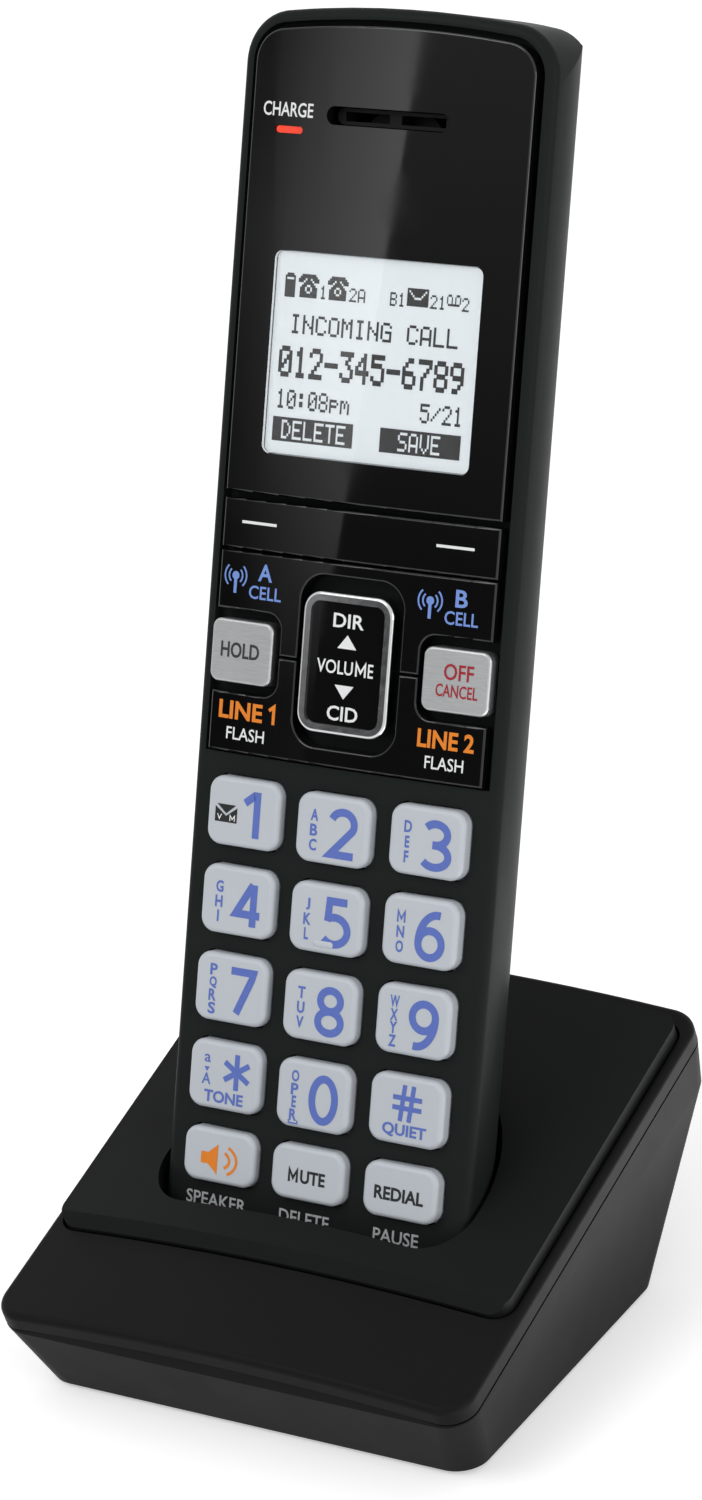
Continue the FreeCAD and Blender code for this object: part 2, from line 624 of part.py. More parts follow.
def stem_holes(sketch):
    """Holes for the stems of the plates, the bar, the metal keys and the navigation key."""
    for side in ("-", ""):
        for height in (CELL_STEM, LINE_STEM):
            add_box(sketch, "plate_stem_width + 2 * stem_gap", "plate_stem_height + 2 * stem_gap",
                    side + STEM_X, height)
        add_box(sketch, "side_stem_width + 2 * stem_gap", "side_stem_width + 2 * stem_gap", side + SIDE_KEY_X,
                "split_line")
    for side in ("-", "+"):
        add_box(sketch, "nav_stem_width + 2 * stem_gap", "nav_stem_height + 2 * stem_gap", "0",
                "nav_centre %s %s" % (side, NAV_STEM))


def bar_stem_holes(sketch):
    for side in ("-", ""):
        add_box(sketch, "plate_stem_width + 2 * stem_gap", "bar_stem_height + 2 * stem_gap",
                side + STEM_X, BAR_STEM)


through(front, stem_holes)
through(front, bar_stem_holes)
through(front, box("display_width + 2 * view_margin", "display_height + 2 * view_margin", "0",
                   "display_centre"))
through(front, slot("slot_width", "slot_height", "0", "slot_centre"))
through(front, box("light_width + 2 * running_gap", "light_height + 2 * running_gap", "-light_side",
                   "light_centre"))


def key_holes(places):
    """The holes of one row of keys."""
    def outline(sketch):
        for label, x, y, height in places:
            add_box(sketch, "key_width + 2 * key_gap", "%s + 2 * key_gap" % height, x, y,
                    "key_corner + key_gap")
    return outline


for first in range(0, len(KEY_PLACES), 3):
    hollow(front, "-mat_depth", "handset_depth", key_holes(KEY_PLACES[first:first + 3]))
through(front, disc("microphone_hole", "0", "microphone_centre"))

for x, y in SCREWS[:2]:
    block(front, "-parting_depth", "-%s" % FLOOR_BACK, disc("post_radius", x, y))
for x, y in SCREWS:
    hollow(front, "-parting_depth", "-%s - screw_stop / 2" % FLOOR_BACK,
           disc("screw_radius + thread_gap", x, y))
sketch = sketch_on(front, "XZ_Plane")
for side in ("-", ""):
    add_box(sketch, "contact_width + 2 * (contact_margin + running_gap)",
            "contact_length + 2 * (contact_margin + running_gap)", side + "contact_side", "-contact_depth")
pocket(front, sketch, "contact_sheet + contact_sink")
in_handset(front)

# Back housing: the D-shaped back, with the battery opening, the ribs at its ends, the screw posts and the
# loudspeaker's slots.
back = new_body("back_housing")
handset_form(back)
fillet(back, "end_radius", lambda edge: edge.BoundBox.ZMax < -value("handset_depth - back_radius") + NEAR and
       (edge.BoundBox.YMax < value("foot_radius") + NEAR or
        edge.BoundBox.YMin > value(SHOULDER) - NEAR))
hollow(back, "-parting_depth", "handset_depth", box("2 * handset_width", "3 * handset_length"))
length, middle = span("end_wall + end_radius", CAVITY_TOP)
sketch = sketch_on(back, "XZ_Plane", "-(end_wall + end_radius)")
inner_half = "(%s + sqrt((back_radius - casing_wall)^2 - (parting_depth + %s)^2))" % (FLAT, ARC_CENTRE)
inner_back = "(casing_wall - handset_depth)"
add_path(sketch, (inner_half, "-parting_depth"), ("-" + inner_half, "-parting_depth"),
         ("-" + FLAT, inner_back, "back_radius - casing_wall", 1), (FLAT, inner_back),
         (inner_half, "-parting_depth", "back_radius - casing_wall", 1))
pocket(back, sketch, length)
DOOR_TOP = "(door_low + door_length + door_swing_gap)"
for low in ("door_low - rib_gap - casing_wall", DOOR_TOP):
    rib, middle = span(low, "%s + casing_wall" % low)
    block(back, back_section("casing_wall / 2", "door_width / 2"), "-parting_depth",
          box("door_width", rib, "0", middle))
opening, middle = span("door_low - door_gap", DOOR_TOP)
hollow(back, "-2 * handset_depth", back_section("casing_wall", "door_width / 2") + " + " + PAST,
       box("door_width + 2 * door_gap", opening, "0", middle))
for x, y in SCREWS[:2]:
    block(back, back_section("casing_wall / 2", "(screw_side + post_radius)"), "-parting_depth",
          disc("post_radius", x, y))
for x, y in SCREWS:
    hollow(back, "-2 * handset_depth", "-parting_depth", disc("screw_radius + screw_gap", x, y))
    hollow(back, "-2 * handset_depth", "-head_depth", disc("head_radius + head_gap", x, y))


def speaker_slots(sketch):
    side = int(value("speaker_slots")) // 2
    for row in range(-side, side + 1):
        add_box(sketch, "speaker_slot_width - %d * speaker_slot_step" % abs(row), "speaker_slot_height", "0",
                "speaker_centre + %d * speaker_slot_pitch" % row)


hollow(back, "-2 * handset_depth", inner_back + " + " + PAST, speaker_slots)
in_handset(back)


# ---------------------------------------------------------------- gloss pieces

# Front bezel: the crowned gloss black panel round the display, with the earpiece slot and the charge light.
bezel = new_body("front_bezel")
block(bezel, "-recess_depth", "handset_depth",
      face_outline("face_rim + gloss_groove", "bezel_line + seam_gap"))
crown_cut(bezel, "gloss_proud")
fillet(bezel, "gloss_edge", lambda edge: edge.BoundBox.ZMin > -value("recess_depth") / 2)
through(bezel, box("display_width", "display_height", "0", "display_centre", "display_corner"))
through(bezel, slot("slot_width", "slot_height", "0", "slot_centre"))
through(bezel, slot("light_width", "light_height", "-light_side", "light_centre"))
in_handset(bezel)

# Display window: a clear plate in the bezel's opening, flush with the bezel.
window = new_body("display_window")
block(window, "-window_depth", "handset_depth",
      box("display_width - fit_gap", "display_height - fit_gap", "0", "display_centre", "display_corner"))
crown_cut(window, "gloss_proud")
in_handset(window)

# Display module: a frame under the recess's floor, whose glass stands up through it to the window.
module = new_body("lcd_module")
block(module, "-%s - module_thick" % FLOOR_BACK, "-%s" % FLOOR_BACK,
      box("display_width + 2 * display_frame", "display_height + 2 * display_frame", "0", "display_centre",
          "module_corner"))
block(module, "-%s - module_thick / 2" % FLOOR_BACK, "-window_depth - display_gap",
      box("display_width - 2 * fit_gap", "display_height - 2 * fit_gap", "0", "display_centre",
          "module_corner"))
in_handset(module)

# Earpiece grille: a strip with two sound slots, in the floor under the bezel's slot.
grille = new_body("earpiece_grille")
block(grille, "-%s" % FLOOR_BACK, "-grille_depth",
      slot("slot_width - 2 * fit_gap", "slot_height - 2 * fit_gap", "0", "slot_centre"))
for side in ("-", ""):
    through(grille, box("sound_slot_width", "sound_slot_height", side + "sound_slot_side", "slot_centre"))
in_handset(grille)

# Charge light: a clear bar from the board to the bezel.
light = new_body("charge_light_pipe")
light_fall = sagitta(CROWN_RADIUS, "light_side + light_width / 2")
block(light, "-board_depth", "gloss_proud - 2 * light_gap - %s" % light_fall,
      slot("light_width - 2 * light_gap", "light_height - 2 * light_gap", "-light_side", "light_centre"))
in_handset(light)


def see_saw_plate(label, low, high, stem):
    """A gloss plate that tips about the middle of the handset, cut away round the navigation key and the two
    metal keys. Two stems reach the keypad mat through the recess's floor."""
    plate = new_body(label)
    height, middle = span(low, high)
    block(plate, "-plate_thick", "plate_thick", box(GLOSS_WIDTH, height, "0", middle))
    crown_cut(plate, "gloss_proud")
    through(plate, box("nav_width + 2 * nav_gap", "nav_height + 2 * nav_end_gap", "0", "nav_centre",
                       "nav_corner + nav_gap"))
    notch, notch_x = span("%s - side_key_width - side_key_gap" % SIDE_KEY_EDGE, "handset_width")
    for side in ("-", ""):
        through(plate, box(notch, "side_key_height + 2 * side_key_end_gap", "%s(%s)" % (side, notch_x),
                           "split_line", "side_key_corner + side_key_gap"))
    fillet(plate, "gloss_edge", lambda edge: edge.BoundBox.ZMin > -value("plate_thick") / 2)
    for side in ("-", ""):
        block(plate, STEM_TIP, STEM_ROOT, box("plate_stem_width", "plate_stem_height", side + STEM_X, stem))
    in_handset(plate)


# Soft-key bar: a see-saw strip under the display.
bar = new_body("softkey_bar")
height, middle = span("bar_line + seam_gap / 2", "bezel_line + seam_gap - wide_seam")
block(bar, "-plate_thick", "plate_thick", box(GLOSS_WIDTH, height, "0", middle))
crown_cut(bar, "gloss_proud")
fillet(bar, "gloss_edge", lambda edge: edge.BoundBox.ZMin > -value("plate_thick") / 2)
for side in ("-", ""):
    block(bar, STEM_TIP, STEM_ROOT, box("plate_stem_width", "bar_stem_height", side + STEM_X, BAR_STEM))
in_handset(bar)

see_saw_plate("cell_key_plate", "split_line + seam_gap / 2", "bar_line - seam_gap / 2", CELL_STEM)
see_saw_plate("line_key_plate", "panel_low", "split_line - seam_gap / 2", LINE_STEM)


# ---------------------------------------------------------------- navigation key and metal keys

# Navigation ring: the bright frame round the navigation key.
NAV_INSIDE = ("nav_width - 2 * nav_rim", "nav_height - 2 * nav_rim", "0", "nav_centre",
              "nav_corner - nav_rim")
ring = new_body("nav_ring")
block(ring, "-plate_thick", "2 * nav_proud", box("nav_width", "nav_height", "0", "nav_centre", "nav_corner"))
crown_cut(ring, "nav_proud")
fillet(ring, "nav_edge", lambda edge: edge.BoundBox.ZMin > 0)
through(ring, box(*NAV_INSIDE))
in_handset(ring)

# Navigation key: the dark centre, pressed into the ring, with two stems to the mat.
nav = new_body("nav_key")
block(nav, "-plate_thick", "2 * nav_proud", box(*NAV_INSIDE))
crown_cut(nav, "nav_proud - nav_sink")
for side in ("-", "+"):
    block(nav, STEM_TIP, STEM_ROOT, box("nav_stem_width", "nav_stem_height", "0",
                                        "nav_centre %s %s" % (side, NAV_STEM)))
in_handset(nav)

# Hold and off keys: metal caps beside the navigation key, each with a stem to the mat.
for label, side in (("hold_key", "-"), ("off_key", "")):
    key = new_body(label)
    block(key, "-plate_thick", "2 * side_key_proud",
          box("side_key_width", "side_key_height", side + SIDE_KEY_X, "split_line", "side_key_corner"))
    crown_cut(key, "side_key_proud")
    fillet(key, "side_key_edge", lambda edge: edge.BoundBox.ZMin > -value("plate_thick") / 2)
    block(key, "side_key_travel + dome_gap - mat_depth", STEM_ROOT,
          box("side_stem_width", "side_stem_width", side + SIDE_KEY_X, "split_line"))
    in_handset(key)


# ---------------------------------------------------------------- keypad

# Every key: a rounded cap, and a flange that holds it under the skin.
for label, x, y, height in KEY_PLACES:
    key = new_body(label)
    fall = "0" if x.startswith("0") else sagitta(CROWN_RADIUS, "column_pitch")
    block(key, "%s - flange_thick" % FLANGE_TOP, "key_proud - %s" % fall,
          box("key_width", height, x, y, "key_corner"))
    fillet(key, "key_edge", lambda edge: edge.BoundBox.ZMin > 0)
    block(key, "%s - flange_thick" % FLANGE_TOP, FLANGE_TOP,
          box("key_width + 2 * key_flange", "%s + 2 * key_flange" % height, x, y, "key_corner + key_flange"))
    in_handset(key)

# Keypad mat: a rubber sheet over the board, with a dome under every key.
mat = new_body("keypad_mat")
length, middle = span("function_row - key_height / 2", "bezel_line")
block(mat, "-mat_depth - mat_thick", "-mat_depth",
      box("2 * (%s - mat_gap)" % CAVITY_HALF, length, "0", middle, "mat_corner"))
for label, x, y, height in KEY_PLACES:
    block(mat, "-mat_depth - mat_thick / 2", "%s - flange_thick - key_travel - dome_gap" % FLANGE_TOP,
          disc("dome_radius", x, y))
for x, y in SCREWS[:2]:
    through(mat, disc("post_radius + post_gap", x, y))
in_handset(mat)


# ---------------------------------------------------------------- inside the handset

# Main board.
board = new_body("main_board")
block(board, "-board_depth - board_thick", "-board_depth",
      box("2 * (%s - board_gap)" % CAVITY_HALF, "board_length", "0", "board_low + board_length / 2",
          "board_corner"))
for x, y in SCREWS[:2]:
    through(board, disc("post_radius + post_gap", x, y))
in_handset(board)

# Earpiece receiver, loudspeaker and microphone: round capsules.
for label, radius, y, face, thick in (
        ("earpiece_receiver", "receiver_radius", "receiver_centre", FLOOR_BACK, "receiver_thick"),
        ("loudspeaker", "speaker_radius", "speaker_centre", "speaker_depth", "speaker_thick"),
        ("microphone", "microphone_radius", "microphone_centre", "mat_depth", "microphone_thick")):
    capsule = new_body(label)
    block(capsule, "-%s - %s" % (face, thick), "-%s" % face, disc(radius, "0", y))
    in_handset(capsule)

# Antenna: a folded strip on the back of the board.
antenna = new_body("antenna")
block(antenna, "-board_depth - board_thick - antenna_thick", "-board_depth - board_thick",
      box("antenna_width", "antenna_height", "0", "antenna_centre"))
in_handset(antenna)

# Battery pack: two cells side by side in one wrapper.
battery = new_body("battery_pack")
sketch = sketch_on(battery, "XZ_Plane", "-(door_low + (door_length - cell_length) / 2)")
add_slot(sketch, "4 * cell_radius", "2 * cell_radius", "0", "-cell_depth")
pad(battery, sketch, "cell_length", reverse=True)
in_handset(battery)

# Battery contacts: two strips on the lower rib.
contacts = new_body("battery_contacts")
for side in ("-", ""):
    sketch = sketch_on(contacts, "XZ_Plane", "-(door_low - rib_gap)")
    add_box(sketch, "cell_contact_width", "cell_contact_height", side + "cell_radius", "-cell_depth")
    pad(contacts, sketch, "contact_sheet", reverse=True)
in_handset(contacts)

# Battery door: a piece of the curved back, hooked at its lower end.
door = new_body("battery_door")
sketch = sketch_on(door, "XZ_Plane", "-door_low")
half = "(door_width / 2)"
outer, inner = back_section("0", half), back_section("casing_wall", half)
add_path(sketch, ("-" + half, outer), ("-" + FLAT, "-handset_depth", "back_radius", 1),
         (FLAT, "-handset_depth"), (half, outer, "back_radius", 1), (half, inner),
         (FLAT, inner_back, "back_radius - casing_wall", -1),
         ("-" + FLAT, inner_back), ("-" + half, inner, "back_radius - casing_wall", -1), ("-" + half, outer))
pad(door, sketch, "door_length", reverse=True)
in_handset(door)

# Charging contacts of the handset, sunk in its lower end.
strips = new_body("handset_contacts")
for side in ("-", ""):
    sketch = sketch_on(strips, "XZ_Plane", "-contact_sink")
    add_box(sketch, "contact_width + 2 * contact_margin", "contact_length + 2 * contact_margin",
            side + "contact_side", "-contact_depth")
    pad(strips, sketch, "contact_sheet", reverse=True)
in_handset(strips)

# Handset screws, from the back into the front housing's posts.
screws = new_body("handset_screws")
for x, y in SCREWS:
    block(screws, "-head_depth - head_thick", "-head_depth", disc("head_radius", x, y))
    block(screws, "-head_depth - head_thick / 2", "-%s - screw_stop" % FLOOR_BACK, disc("screw_radius", x, y))
in_handset(screws)


# ---------------------------------------------------------------- cradle

DECK_RUN = "(cradle_run / cos(top_slope))"
CREASE_REAR = "(seam_height + cradle_run * tan(skirt_slope))"
BASE_REAR = "(front_undercut + base_run)"
JACK_REAR = ("(%s + (cradle_run - %s) * (jack_centre - base_lift) / (%s - base_lift) - jack_inset)"
             % (BASE_REAR, BASE_REAR, CREASE_REAR))
JACK_FRONT = "(%s - jack_length)" % JACK_REAR
SCREW_TOP = "(base_lift + head_sink + base_screw_length)"
INNER_FLOOR = "(base_lift + base_floor)"
PAD_PLACES = ("front_undercut + pad_inset", "front_undercut + base_run - pad_inset")


def arch(body, level, above=True, tilt="0", half="(cradle_width / 2 + %s)" % PAST, start=None, length=None,
         crown="seam_crown"):
    """Cut above or below a crowned surface that runs up the slope. Level is its height at the sides."""
    sketch = sketch_on(body, "XZ_Plane", start or "0", tilt=tilt)
    radius = "(((cradle_width / 2)^2 + %s^2) / (2 * %s))" % (crown, crown)
    edge = "(%s + %s - %s)" % (level, crown, sagitta(radius, half))
    far = "cradle_run" if above else "-cradle_run"
    if above:
        add_path(sketch, (half, edge), (half, far), ("-" + half, far), ("-" + half, edge),
                 (half, edge, radius, -1))
    else:
        add_path(sketch, (half, edge), ("-" + half, edge, radius, 1), ("-" + half, far), (half, far),
                 (half, edge))
    return pocket(body, sketch, length, reverse=bool(length))


def level_sketch(body, height):
    """A level sketch in a deck-frame body, at a height over the floor, measured from the cradle's front."""
    sketch = sketch_on(body, "XY_Plane", "0", tilt="-top_slope")
    sketch.setExpression("AttachmentOffset.Base.y", bound("(%s - seam_height) * sin(top_slope)" % height))
    sketch.setExpression("AttachmentOffset.Base.z", bound("(%s - seam_height) * cos(top_slope)" % height))
    return sketch


def level_block(body, low, high, outline):
    """A pad between two heights over the floor, in a deck-frame body."""
    sketch = level_sketch(body, "(%s)" % low)
    outline(sketch)
    return pad(body, sketch, "(%s) - (%s)" % (high, low))


def level_hollow(body, low, high, outline):
    """A cut between two heights over the floor, in a deck-frame body."""
    sketch = level_sketch(body, "(%s)" % high)
    outline(sketch)
    return pocket(body, sketch, "(%s) - (%s)" % (high, low))


def base_loft(body, kind, inset, floor):
    """The base's form, drawn in by inset: the bottom outline, the crease and an outline above the seam."""
    bottom = level_sketch(body, floor)
    run, middle = span("front_undercut + %s" % inset, "front_undercut + base_run - %s" % inset)
    add_box(bottom, "base_width - 2 * %s" % inset, run, "0", middle, "base_corner - %s" % inset)
    crease = sketch_on(body, "XY_Plane", "0", tilt="skirt_slope - top_slope")
    run, middle = span("%s / cos(skirt_slope)" % inset, "(cradle_run - %s) / cos(skirt_slope)" % inset)
    add_box(crease, "cradle_width - 2 * %s" % inset, run, "0", middle, "cradle_corner - %s" % inset)
    above = sketch_on(body, "XY_Plane", "seam_crown + " + PAST)
    shift = "(seam_crown + %s) * tan(top_slope)" % PAST
    run, middle = span("%s / cos(top_slope) + %s" % (inset, shift),
                       "(cradle_run - %s) / cos(top_slope) + %s" % (inset, shift))
    add_box(above, "cradle_width - 2 * %s" % inset, run, "0", middle, "cradle_corner - %s" % inset)
    for sketch in (bottom, crease, above):
        settle(sketch)
    feature = body.newObject("PartDesign::%sLoft" % kind, body.Label + "_loft")
    feature.Profile = bottom
    feature.Sections = [crease, above]
    feature.Ruled = True
    if kind == "Subtractive":
        cuts.append(feature)


# Base: an open tub with sloping walls, an upright band under the seam, and holes for screws, feet and inlet.
base = new_body("charger_base")
base_loft(base, "Additive", "0", "base_lift")
base_loft(base, "Subtractive", "cradle_wall", INNER_FLOOR)
arch(base, "0")
level_block(base, "base_lift + base_floor / 2", "jack_centre - jack_height / 2",
            box("jack_width", "jack_length / 2", "0", "%s + jack_length / 4" % JACK_FRONT))
for side in ("-", ""):
    for y in PAD_PLACES:
        level_hollow(base, "0", "base_lift + pad_sink", disc("pad_radius + fit_gap", side + "pad_side", y))
    for y in ("front_screw", "rear_screw"):
        level_hollow(base, "0", INNER_FLOOR + " + " + PAST, disc("base_screw_radius + screw_gap",
                                                                side + "base_screw_side", y))
        level_hollow(base, "0", "base_lift + head_sink", disc("head_radius + head_gap",
                                                              side + "base_screw_side", y))
pipe = sketch_on(base, "XZ_Plane", "0", tilt="-top_slope")
add_circle(pipe, "0", "jack_centre - seam_height", "jack_bore + jack_hole_gap")
pipe.setExpression("AttachmentOffset.Base.z", bound("-%s * cos(top_slope)" % JACK_FRONT))
pipe.setExpression("AttachmentOffset.Base.y", bound("-%s * sin(top_slope)" % JACK_FRONT))
pocket(base, pipe, "cradle_run")
on_deck(base)


def on_outline(edge, half, front, rear):
    """Whether an edge in the deck frame reaches one of the four sides of an outline."""
    reach = edge.BoundBox
    return (reach.XMax > value(half) - NEAR or reach.XMin < NEAR - value(half) or
            reach.YMin < value(front) + NEAR or reach.YMax > value(rear) - NEAR)


# Cover: a crowned frame round the platform, with a tongue that drops inside the base and two screw posts.
cover = new_body("charger_top_cover")


def deck_outline(inset, front="0", rear="0"):
    """A rounded outline on the deck, drawn in by inset, and further at its front and rear."""
    run, middle = span("(%s + %s) / cos(top_slope)" % (inset, front),
                       "(cradle_run - %s - %s) / cos(top_slope)" % (inset, rear))
    return box("cradle_width - 2 * (%s)" % inset, run, "0", middle, "cradle_corner - (%s)" % inset)


def platform_outline(grow, width="platform_width"):
    """The platform's outline on the deck, or that of its neck, made larger by grow."""
    run, middle = span("(platform_front - %s) / cos(top_slope)" % grow,
                       "(cradle_run - platform_back - groove_width + %s) / cos(top_slope)" % grow)
    return box("%s + 2 * (%s)" % (width, grow), run, "0", middle, "platform_corner + (%s)" % grow)


block(cover, "0", "seam_crown + 2 * cover_height", deck_outline("0"))
arch(cover, "seam_line", above=False)
block(cover, "-tongue_height", "cover_height / 2", deck_outline("(cradle_wall + tongue_gap)"))
hollow(cover, "-2 * tongue_height", "cover_height - cradle_wall", deck_outline("2 * cradle_wall"))
through(cover, platform_outline("groove_width"))
for side in ("-", ""):
    level_block(cover, INNER_FLOOR + " + fit_gap", "cradle_run", disc("post_radius", side + "base_screw_side",
                                                                      "front_screw"))
arch(cover, "cover_height")
fillet(cover, "cover_edge", lambda edge: on_outline(edge, "cradle_width / 2", "0", DECK_RUN) and
       edge.BoundBox.ZMin > value("cover_height") - NEAR)
for side in ("-", ""):
    level_hollow(cover, "0", SCREW_TOP + " + screw_stop / 2", disc("base_screw_radius + thread_gap",
                                                                 side + "base_screw_side", "front_screw"))
on_deck(cover)

# Platform: the raised plate that the handset stands in, with its cup, flange and rear screw posts.
PLATFORM_TILT = "platform_slope - top_slope"
PLATFORM_START = "(platform_front / cos(top_slope))"
PLATFORM_TOP = "((cover_height + platform_rise) * cos(top_slope - platform_slope))"
FLANGE_FOOT = "(-tongue_height - running_gap - flange_thick)"
plate = new_body("platform_plate", keep=False)
block(plate, "neck_top", "seam_crown + cover_height + 2 * platform_rise", platform_outline("0"))
block(plate, FLANGE_FOOT, "neck_top + " + PAST, platform_outline("0", "neck_width"))
run, middle = span("(platform_front + platform_skin) / cos(top_slope)",
                   "(cradle_run - platform_back - groove_width - platform_skin) / cos(top_slope)")
arch(plate, "%s - platform_skin" % PLATFORM_TOP, above=False, tilt=PLATFORM_TILT,
     half="(neck_width / 2 - platform_skin)", start="-(%s + platform_skin)" % PLATFORM_START, length=run)
block(plate, FLANGE_FOOT, FLANGE_FOOT + " + flange_thick", platform_outline("flange_reach", "neck_width"))
hollow(plate, "-cradle_run", "-tongue_height", platform_outline("-platform_skin", "neck_width"))
for side in ("-", ""):
    level_block(plate, INNER_FLOOR + " + fit_gap", "cradle_run", disc("post_radius", side + "base_screw_side",
                                                                      "rear_screw"))
arch(plate, PLATFORM_TOP, tilt=PLATFORM_TILT, start="-" + PLATFORM_START)
arch(plate, "((cover_height + facet_foot) * cos(facet_slope))", tilt="facet_slope", start="-" + PLATFORM_START,
     crown="(seam_crown * cos(facet_slope))")
for side in ("-", ""):
    level_hollow(plate, "0", SCREW_TOP + " + screw_stop / 2", disc("base_screw_radius + thread_gap",
                                                                 side + "base_screw_side", "rear_screw"))
on_deck(plate)

sky = new_body("space_over_platform", keep=False)
block(sky, "-cradle_run", "2 * cradle_run", box("2 * cradle_width", "4 * cradle_run"))
arch(sky, PLATFORM_TOP, above=False, tilt=PLATFORM_TILT, start="-" + PLATFORM_START)
on_deck(sky)


def cup_prism(label, grow, low, high):
    """A prism along the handset with the cup's D-shaped section, made larger by grow."""
    body = new_body(label, keep=False)
    half = "(handset_width / 2 + cup_side + %s)" % grow
    face = "(cup_front + %s)" % grow
    corner = "(cup_corner + %s)" % grow
    radius = "(back_radius + cup_back + %s)" % grow
    rear = "(0 - handset_depth - cup_back - %s)" % grow
    sketch = sketch_on(body, "XZ_Plane", "-(%s)" % low)
    add_path(sketch, (half, "%s + %s" % (rear, radius)), (half, "%s - %s" % (face, corner)),
             ("%s - %s" % (half, corner), face, corner, 1), ("%s - %s" % (corner, half), face),
             ("-" + half, "%s - %s" % (face, corner), corner, 1), ("-" + half, "%s + %s" % (rear, radius)),
             ("%s - %s" % (radius, half), rear, radius, 1), ("%s - %s" % (half, radius), rear),
             (half, "%s + %s" % (rear, radius), radius, 1))
    pad(body, sketch, "(%s) - (%s)" % (high, low), reverse=True)
    return body


outer = cup_prism("cup_outside", "cup_wall", "0 - cup_seat - cup_wall", "platform_width")
for side in ("-", ""):
    sketch = sketch_on(outer, "XZ_Plane", "charger_board_drop")
    add_circle(sketch, side + "board_post_side", "-contact_depth", "board_post_radius")
    pad(outer, sketch, "charger_board_drop - cup_seat - cup_wall / 2", reverse=True)
in_handset(outer)
inner = cup_prism("cup_inside", "0", "0 - cup_seat", "platform_width")
for side in ("-", ""):
    sketch = sketch_on(inner, "XZ_Plane", "cup_seat + 2 * cup_wall")
    add_box(sketch, "contact_width + 2 * prong_gap", "contact_length + 2 * prong_gap", side + "contact_side",
            "-contact_depth")
    pad(inner, sketch, "3 * cup_wall", reverse=True)
in_handset(inner)


def boolean(kind, label, base, tool):
    """A Part boolean of two pieces."""
    result = doc.addObject("Part::" + kind, label)
    result.Label = label
    result.Base = base
    result.Tool = tool
    return result


cup = boolean("Cut", "cup_shell", outer, sky)
joined = boolean("Fuse", "platform_and_cup", plate, cup)
nodes["charger_platform"] = boolean("Cut", "charger_platform", joined, inner)

# Feet: four rubber discs sunk in the base.
feet = new_body("charger_feet")
for side in ("-", ""):
    for y in PAD_PLACES:
        block(feet, "0", "base_lift + pad_sink", disc("pad_radius", side + "pad_side", y))
place(feet, "0", "0", "0")

# Ballast: a steel plate on the base's floor, with holes for the front posts.
ballast = new_body("ballast_plate")
ballast_front = "front_undercut + cradle_wall + ballast_gap"
block(ballast, INNER_FLOOR, INNER_FLOOR + " + ballast_thick",
      box("ballast_width", "ballast_length", "0", ballast_front + " + ballast_length / 2"))
for side in ("-", ""):
    through(ballast, disc("post_radius + post_gap", side + "base_screw_side", "front_screw"))
place(ballast, "0", "0", "0")

# Cradle screws, up through the base into the posts.
base_screws = new_body("charger_screws")
for side in ("-", ""):
    for y in ("front_screw", "rear_screw"):
        block(base_screws, "base_lift", "base_lift + head_sink",
              disc("head_radius", side + "base_screw_side", y))
        block(base_screws, "base_lift + head_sink / 2", SCREW_TOP,
              disc("base_screw_radius", side + "base_screw_side", y))
place(base_screws, "0", "0", "0")

# Charging contacts of the cradle: two strips that stand through the cup's floor.
prongs = new_body("charger_contacts")
for side in ("-", ""):
    sketch = sketch_on(prongs, "XZ_Plane", "charger_board_drop")
    add_box(sketch, "contact_width", "contact_length", side + "contact_side", "-contact_depth")
    pad(prongs, sketch, "charger_board_drop", reverse=True)
in_handset(prongs)

# Cradle board, square to the handset, under the cup's floor.
charger_board = new_body("charger_board")
sketch = sketch_on(charger_board, "XZ_Plane", "charger_board_drop + board_thick")
add_box(sketch, "charger_board_width", "charger_board_length", "0", "-contact_depth")
pad(charger_board, sketch, "board_thick", reverse=True)
in_handset(charger_board)

# Power inlet: a block with a round bore and a centre pin, behind the hole in the rear wall.
jack = new_body("power_jack")
sketch = sketch_on(jack, "XZ_Plane", "-" + JACK_FRONT)
add_box(sketch, "jack_width", "jack_height", "0", "jack_centre", "jack_corner")
pad(jack, sketch, "jack_length", reverse=True)
sketch = sketch_on(jack, "XZ_Plane", "-%s" % JACK_REAR)
add_circle(sketch, "0", "jack_centre", "jack_bore")
add_circle(sketch, "0", "jack_centre", "jack_pin")
pocket(jack, sketch, "jack_bore_depth", reverse=True)
place(jack, "0", "0", "0")


# ---------------------------------------------------------------- checks and files

doc.recompute()
reach = FreeCAD.BoundBox()
for body in nodes.values():
    reach.add(body.Shape.optimalBoundingBox(False, False))
extent.middle = (reach.YMin + reach.YMax) / 2
doc.recompute()

faults = [obj.Name for obj in doc.Objects if "Invalid" in obj.State or "Error" in obj.State]
if faults:
    raise RuntimeError("failed: " + ", ".join(faults))
faults += [cut.Name for cut in cuts if cut.Shape.Volume > cut.BaseFeature.Shape.Volume - 1e-3]
faults += [obj.Name for obj in doc.Objects if obj.TypeId == "PartDesign::Body" and not obj.Shape.isValid()]
faults += [label for label, node in nodes.items() if node.Shape.isNull() or not node.Shape.isValid()]
if faults:
    raise RuntimeError("failed: " + ", ".join(faults))

os.makedirs("parts", exist_ok=True)
for label, node in nodes.items():
    node.Shape.exportStep("parts/%s.step" % label)
print("%d nodes, %.1f x %.1f x %.1f mm" % (len(nodes), reach.XLength, reach.YLength, reach.ZLength))
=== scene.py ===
import json
import math

import bpy
import numpy as np
from mathutils import Matrix, Vector


